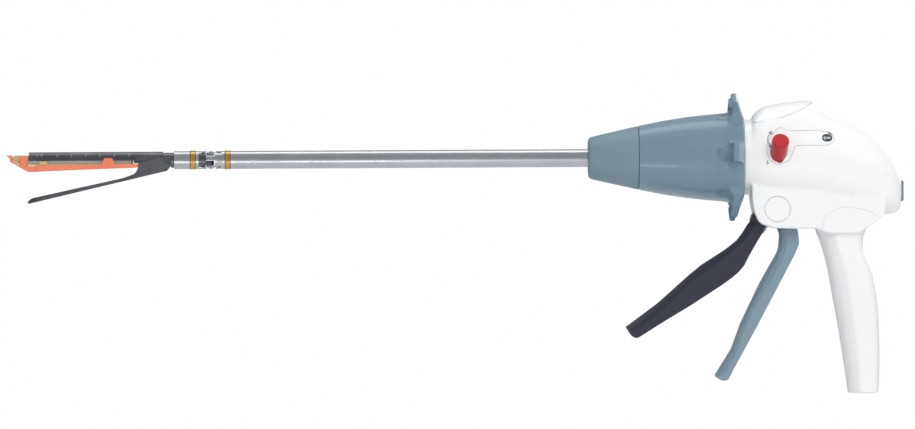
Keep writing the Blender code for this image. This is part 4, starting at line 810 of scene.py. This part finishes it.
# The two levers turn on one steel cross pin. The closing trigger is grey-blue and the firing trigger
# in front of it near-black navy. Each is a bowed moulding that narrows from a crease to its front,
# and a lavender web shows at the firing trigger's hub.
lever_half, closing_front_half, firing_front_half, pin_bore_r = 8.0, 3.4, 3.0, 2.6
navy = plastic("Navy firing trigger", (0.025, 0.027, 0.044), 0.45, 0.95, 900.0, 0.0000008)
lever_blue = plastic("Grey-blue closing trigger", (0.205, 0.29, 0.345), 0.48, 0.985, 900.0, 0.0000008)


def front_chamfer(name, crease, edge, half, front_half):
    """Two tools that slope a lever's sides from its crease to its narrower front edge."""
    past_edge, past_side, clear, middle_way, middle_drop, slope_share = 2, 3, 0.02, 0.55, 0.36, 0.6
    drop = half - front_half
    tools = []
    for side in (-1, 1):
        rings = []
        for x, z in crease:
            here = Vector((x, z))
            best = None
            for (ax, az), (bx, bz) in zip(edge, edge[1:]):
                first, way = Vector((ax, az)), Vector((bx - ax, bz - az))
                along = min(max((here - first).dot(way) / way.length_squared, 0), 1)
                near = first + way * along
                if best is None or (near - here).length < (best - here).length:
                    best = near
            out = best + (best - here).normalized() * past_edge
            middle = here.lerp(best, middle_way)
            end_half = front_half - drop * past_edge / max((best - here).length, 1) * slope_share
            ring = [(here, half + clear), (middle, half - drop * middle_drop), (best, front_half),
                    (out, end_half), (out, half + past_side), (here, half + past_side)]
            rings.append([(p.x / 1000, side * y / 1000, p.y / 1000) for p, y in ring])
        tools.append(skinned(name, rings))
    return tools


def tidy_faces(piece):
    """Merges stray corners and joins flat neighbours that a cut leaves behind."""
    stray_gap, thin_gap, flat_angle, lever_crease = 0.00006, 0.00002, 0.8, 20
    work = bmesh.new()
    work.from_mesh(piece.data)
    bmesh.ops.remove_doubles(work, verts=work.verts, dist=stray_gap)
    bmesh.ops.dissolve_degenerate(work, edges=work.edges, dist=thin_gap)
    bmesh.ops.dissolve_limit(work, angle_limit=radians(flat_angle), verts=work.verts, edges=work.edges)
    shade(work, lever_crease)
    work.to_mesh(piece.data)
    work.free()


def pin_bore():
    """The hole for the cross pin."""
    return bar("pin_bore", (pin_x, -12, pin_z), (pin_x, 12, pin_z), pin_bore_r)


closing = [(-66.5, 131.0, 6.0), (-63.0, 136.0, 6.0), (-56.0, 136.0, 6.0), (-53.0, 128.0, 6.0),
           (-47.0, 119.0, 3.0), (-45.6, 112.5, 4.0), (-44.8, 105.0, 6.0), (-48.3, 96.9, 20.0),
           (-75.6, 45.5, 20.0), (-91.3, 17.2, 8.0), (-95.0, 9.8, 2.5), (-99.0, 9.2, 2.5),
           (-104.6, 12.4, 2.0), (-92.3, 32.0, 20.0), (-86.0, 49.5, 20.0), (-72.4, 77.5, 20.0),
           (-59.2, 100.5, 14.0), (-58.4, 112.0, 8.0), (-61.5, 119.0, 3.0)]
closing_front = [(-60.2, 118.0), (-58.4, 112.0), (-58.6, 103.5), (-61.5, 96.5), (-72.4, 77.5),
                 (-86.0, 49.5), (-92.3, 32.0), (-104.6, 12.4)]
closing_crease = [(-55.6, 119.0), (-54.4, 113.5), (-53.3, 107.3), (-54.2, 100.5), (-56.6, 94.0),
                  (-65.1, 78.0), (-78.7, 56.0), (-84.0, 43.4), (-90.0, 26.6), (-96.0, 16.4),
                  (-99.6, 13.0), (-103.0, 11.9)]
lever = slab("closing_lever", rounded_outline(closing), lever_half, lever_blue)
whittle(lever, front_chamfer("closing_slope", closing_crease, closing_front, lever_half, closing_front_half))
cheek = [(-80, 112.2), (-59.4, 112.2), (-57.2, 115), (-30, 115), (-30, 145), (-80, 145)]
cheek_half, cheek_y = 4.5, 7.5
whittle(lever, [slab("left_cheek", cheek, cheek_half, None, -cheek_y),
                slab("right_cheek", cheek, cheek_half, None, cheek_y), pin_bore()])
tidy_faces(lever)
soften(lever, 0.0007, 3, 26)
settle(lever, "closing_trigger")

firing = [(-68.8, 129.1, 5.0), (-64.0, 136.5, 5.0), (-57.0, 136.5, 5.0), (-52.6, 129.1, 5.0),
          (-57.0, 121.0, 4.0), (-67.5, 119.2, 2.0), (-70.0, 113.5, 3.0), (-75.7, 104.0, 20.0),
          (-80.0, 96.5, 14.0), (-83.4, 89.8, 14.0), (-88.0, 84.6, 14.0), (-92.6, 80.8, 14.0),
          (-98.8, 76.4, 20.0), (-119.7, 62.9, 30.0), (-141.1, 50.1, 20.0), (-155.6, 41.0, 3.0),
          (-158.6, 39.3, 3.0), (-161.6, 40.2, 3.0), (-164.0, 43.6, 2.0), (-166.2, 47.2, 0.8),
          (-144.0, 63.6, 20.0), (-121.1, 83.9, 20.0), (-112.6, 90.7, 20.0), (-96.0, 101.2, 20.0),
          (-88.0, 107.6, 10.0), (-83.6, 113.6, 5.0), (-80.6, 118.6, 2.0), (-79.2, 120.0, 1.5),
          (-77.6, 126.0, 3.0)]
firing_front = [(-79.4, 121.0), (-83.6, 113.0), (-91.1, 105.0), (-112.6, 90.7), (-121.1, 83.9),
                (-144.0, 63.6), (-166.4, 47.2)]
firing_crease = [(-74.8, 120.0), (-77.6, 115.0), (-84.0, 106.0), (-98.3, 94.6), (-116.2, 81.6),
                 (-126.9, 72.4), (-141.1, 58.6), (-151.8, 49.6), (-158.8, 45.6), (-163.0, 44.6)]
lever = slab("firing_lever", rounded_outline(firing), lever_half, navy)
whittle(lever, front_chamfer("firing_slope", firing_crease, firing_front, lever_half, firing_front_half))
fork = [(-71.8, 142), (-71.8, 108), (-69, 104), (-40, 104), (-40, 142)]
whittle(lever, [slab("fork_slot", fork, 3.3), pin_bore()])
tidy_faces(lever)
soften(lever, 0.0007, 3, 26)
settle(lever, "firing_trigger")
lavender = plastic("Lavender hub web", (0.47, 0.48, 0.58), 0.45)
web_outline = [(-72.2, 119.4), (-66.5, 119.8), (-66.6, 117.2), (-68.4, 114.0), (-70.4, 111.8), (-71.6, 113.6)]
web = slab("hub_web", web_outline, 5.2, lavender)
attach(web, rides_on["firing_trigger"])

# The works between two steel side plates: the firing rod with its rack, the gear on its arbor, the
# closure yoke with its spring, the release bar with its own, and the screws and pins that hold them.
for node in ("trigger_pin", "gear_arbor", "left_frame_plate", "right_frame_plate", "firing_rack",
             "drive_gear", "firing_rod", "housing_screw_1", "housing_screw_2", "housing_screw_3",
             "override_pin", "release_bar"):
    restore(node, node + "_metal", ground_steel, 0.00015)
coil = restore("closure_spring", "closure_coil", ground_steel, 0)
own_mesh(coil)
coil = restore("release_spring", "release_coil", ground_steel, 0)
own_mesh(coil)
grey_moulding = plastic("Grey yoke", (0.34, 0.35, 0.37), 0.5)
restore("closure_yoke", "yoke", grey_moulding, 0.0002)
restore("spring_seat", "spring_rest", grey_moulding, 0.0002)

# The reverse knob and the override lever: two red mouldings. The knob stands out of its slot at a
# slant, with a foot inside the shell, and the lever lies under the top cover.
knob_base, knob_cap = Vector((-60.2, -26.0, 168.3)), Vector((-59.2, -37.2, 177.0))
knob_r, knob_sunk, stem_r = 5.9, 3, 2.4
red = plastic("Red reverse knob", (0.46, 0.002, 0.010), 0.42, 0.9, 900.0, 0.000003, 0.1)
along = (knob_cap - knob_base).normalized()
knob = bar("reverse_knob", knob_base - along * knob_sunk, knob_cap, knob_r, 96, red)
soften(knob, 0.0006, 4, 40)
whittle(knob, [block("knob_seat", (-90, -27.4, 140), (-30, 0, 200))])
stem = bar("knob_stem", (-59.4, -30, 168), (-59.4, -20, 168), stem_r, 32, red)
foot = block("knob_foot", (-64.4, -22, 163), (-54.4, -20, 173))
whittle(knob, [stem, foot], "UNION")
soften(knob, 0.0002, 2, 40)
settle(knob, "reverse_switch")
restore("override_lever", "override_paddle", red, 0.0003)

# The direction window: a clear pane set in the left shell, over a dark disc that turns on its axle
# with a pale arrow printed on its face.
window_glass, glass_tree, glass = node_material("Clear window", (0.80, 0.84, 0.86), 0.06)
glass.inputs["Transmission Weight"].default_value = 0.97
glass.inputs["IOR"].default_value = 1.12
vary(glass_tree, glass, speckle(glass_tree, 120.0), "Roughness", 0.02, 0.05)
pane = slab("window_pane", capsule(window_at, 3.6, 2.5), 0.25, window_glass, -22.3)
settle(pane, "indicator_lens")
disc_x, disc_z = window_at
dark_plastic = plastic("Dark indicator disc", (0.05, 0.055, 0.065), 0.45)
dark_disc = bar("arrow_disc", (disc_x, -21.4, disc_z), (disc_x, -16.0, disc_z), 4.35, 64, dark_plastic)
axle = bar("arrow_axle", (disc_x, -16.5, disc_z), (disc_x, -11.4, disc_z), 1.2, 24)
whittle(dark_disc, [axle], "UNION")
soften(dark_disc, 0.0001, 2, 40)
settle(dark_disc, "indicator_disc")
pale_ink = mottled("Pale arrow", (0.75, 0.77, 0.80), 0.5, 400.0, (0.70, 0.72, 0.75), (0.80, 0.82, 0.85))
arrow_outline = [(-29.0, 178.6), (-27.2, 180.2), (-27.2, 179.3), (-23.6, 179.3), (-23.6, 177.9),
                 (-27.2, 177.9), (-27.2, 177.0)]
arrow = slab("direction_arrow", arrow_outline, 0.04, pale_ink, -21.45)
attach(arrow, rides_on["indicator_disc"])

# The release button: a grey-blue moulding at the back of the barrel, with softly rounded corners. It
# is pressed in against the release spring.
button = block("thumb_release", (18.3, -5.5, 134.3), (28.7, 5.5, 148.9), matte_blue)
soften(button, 0.0016, 5, 40)
settle(button, "release_button")
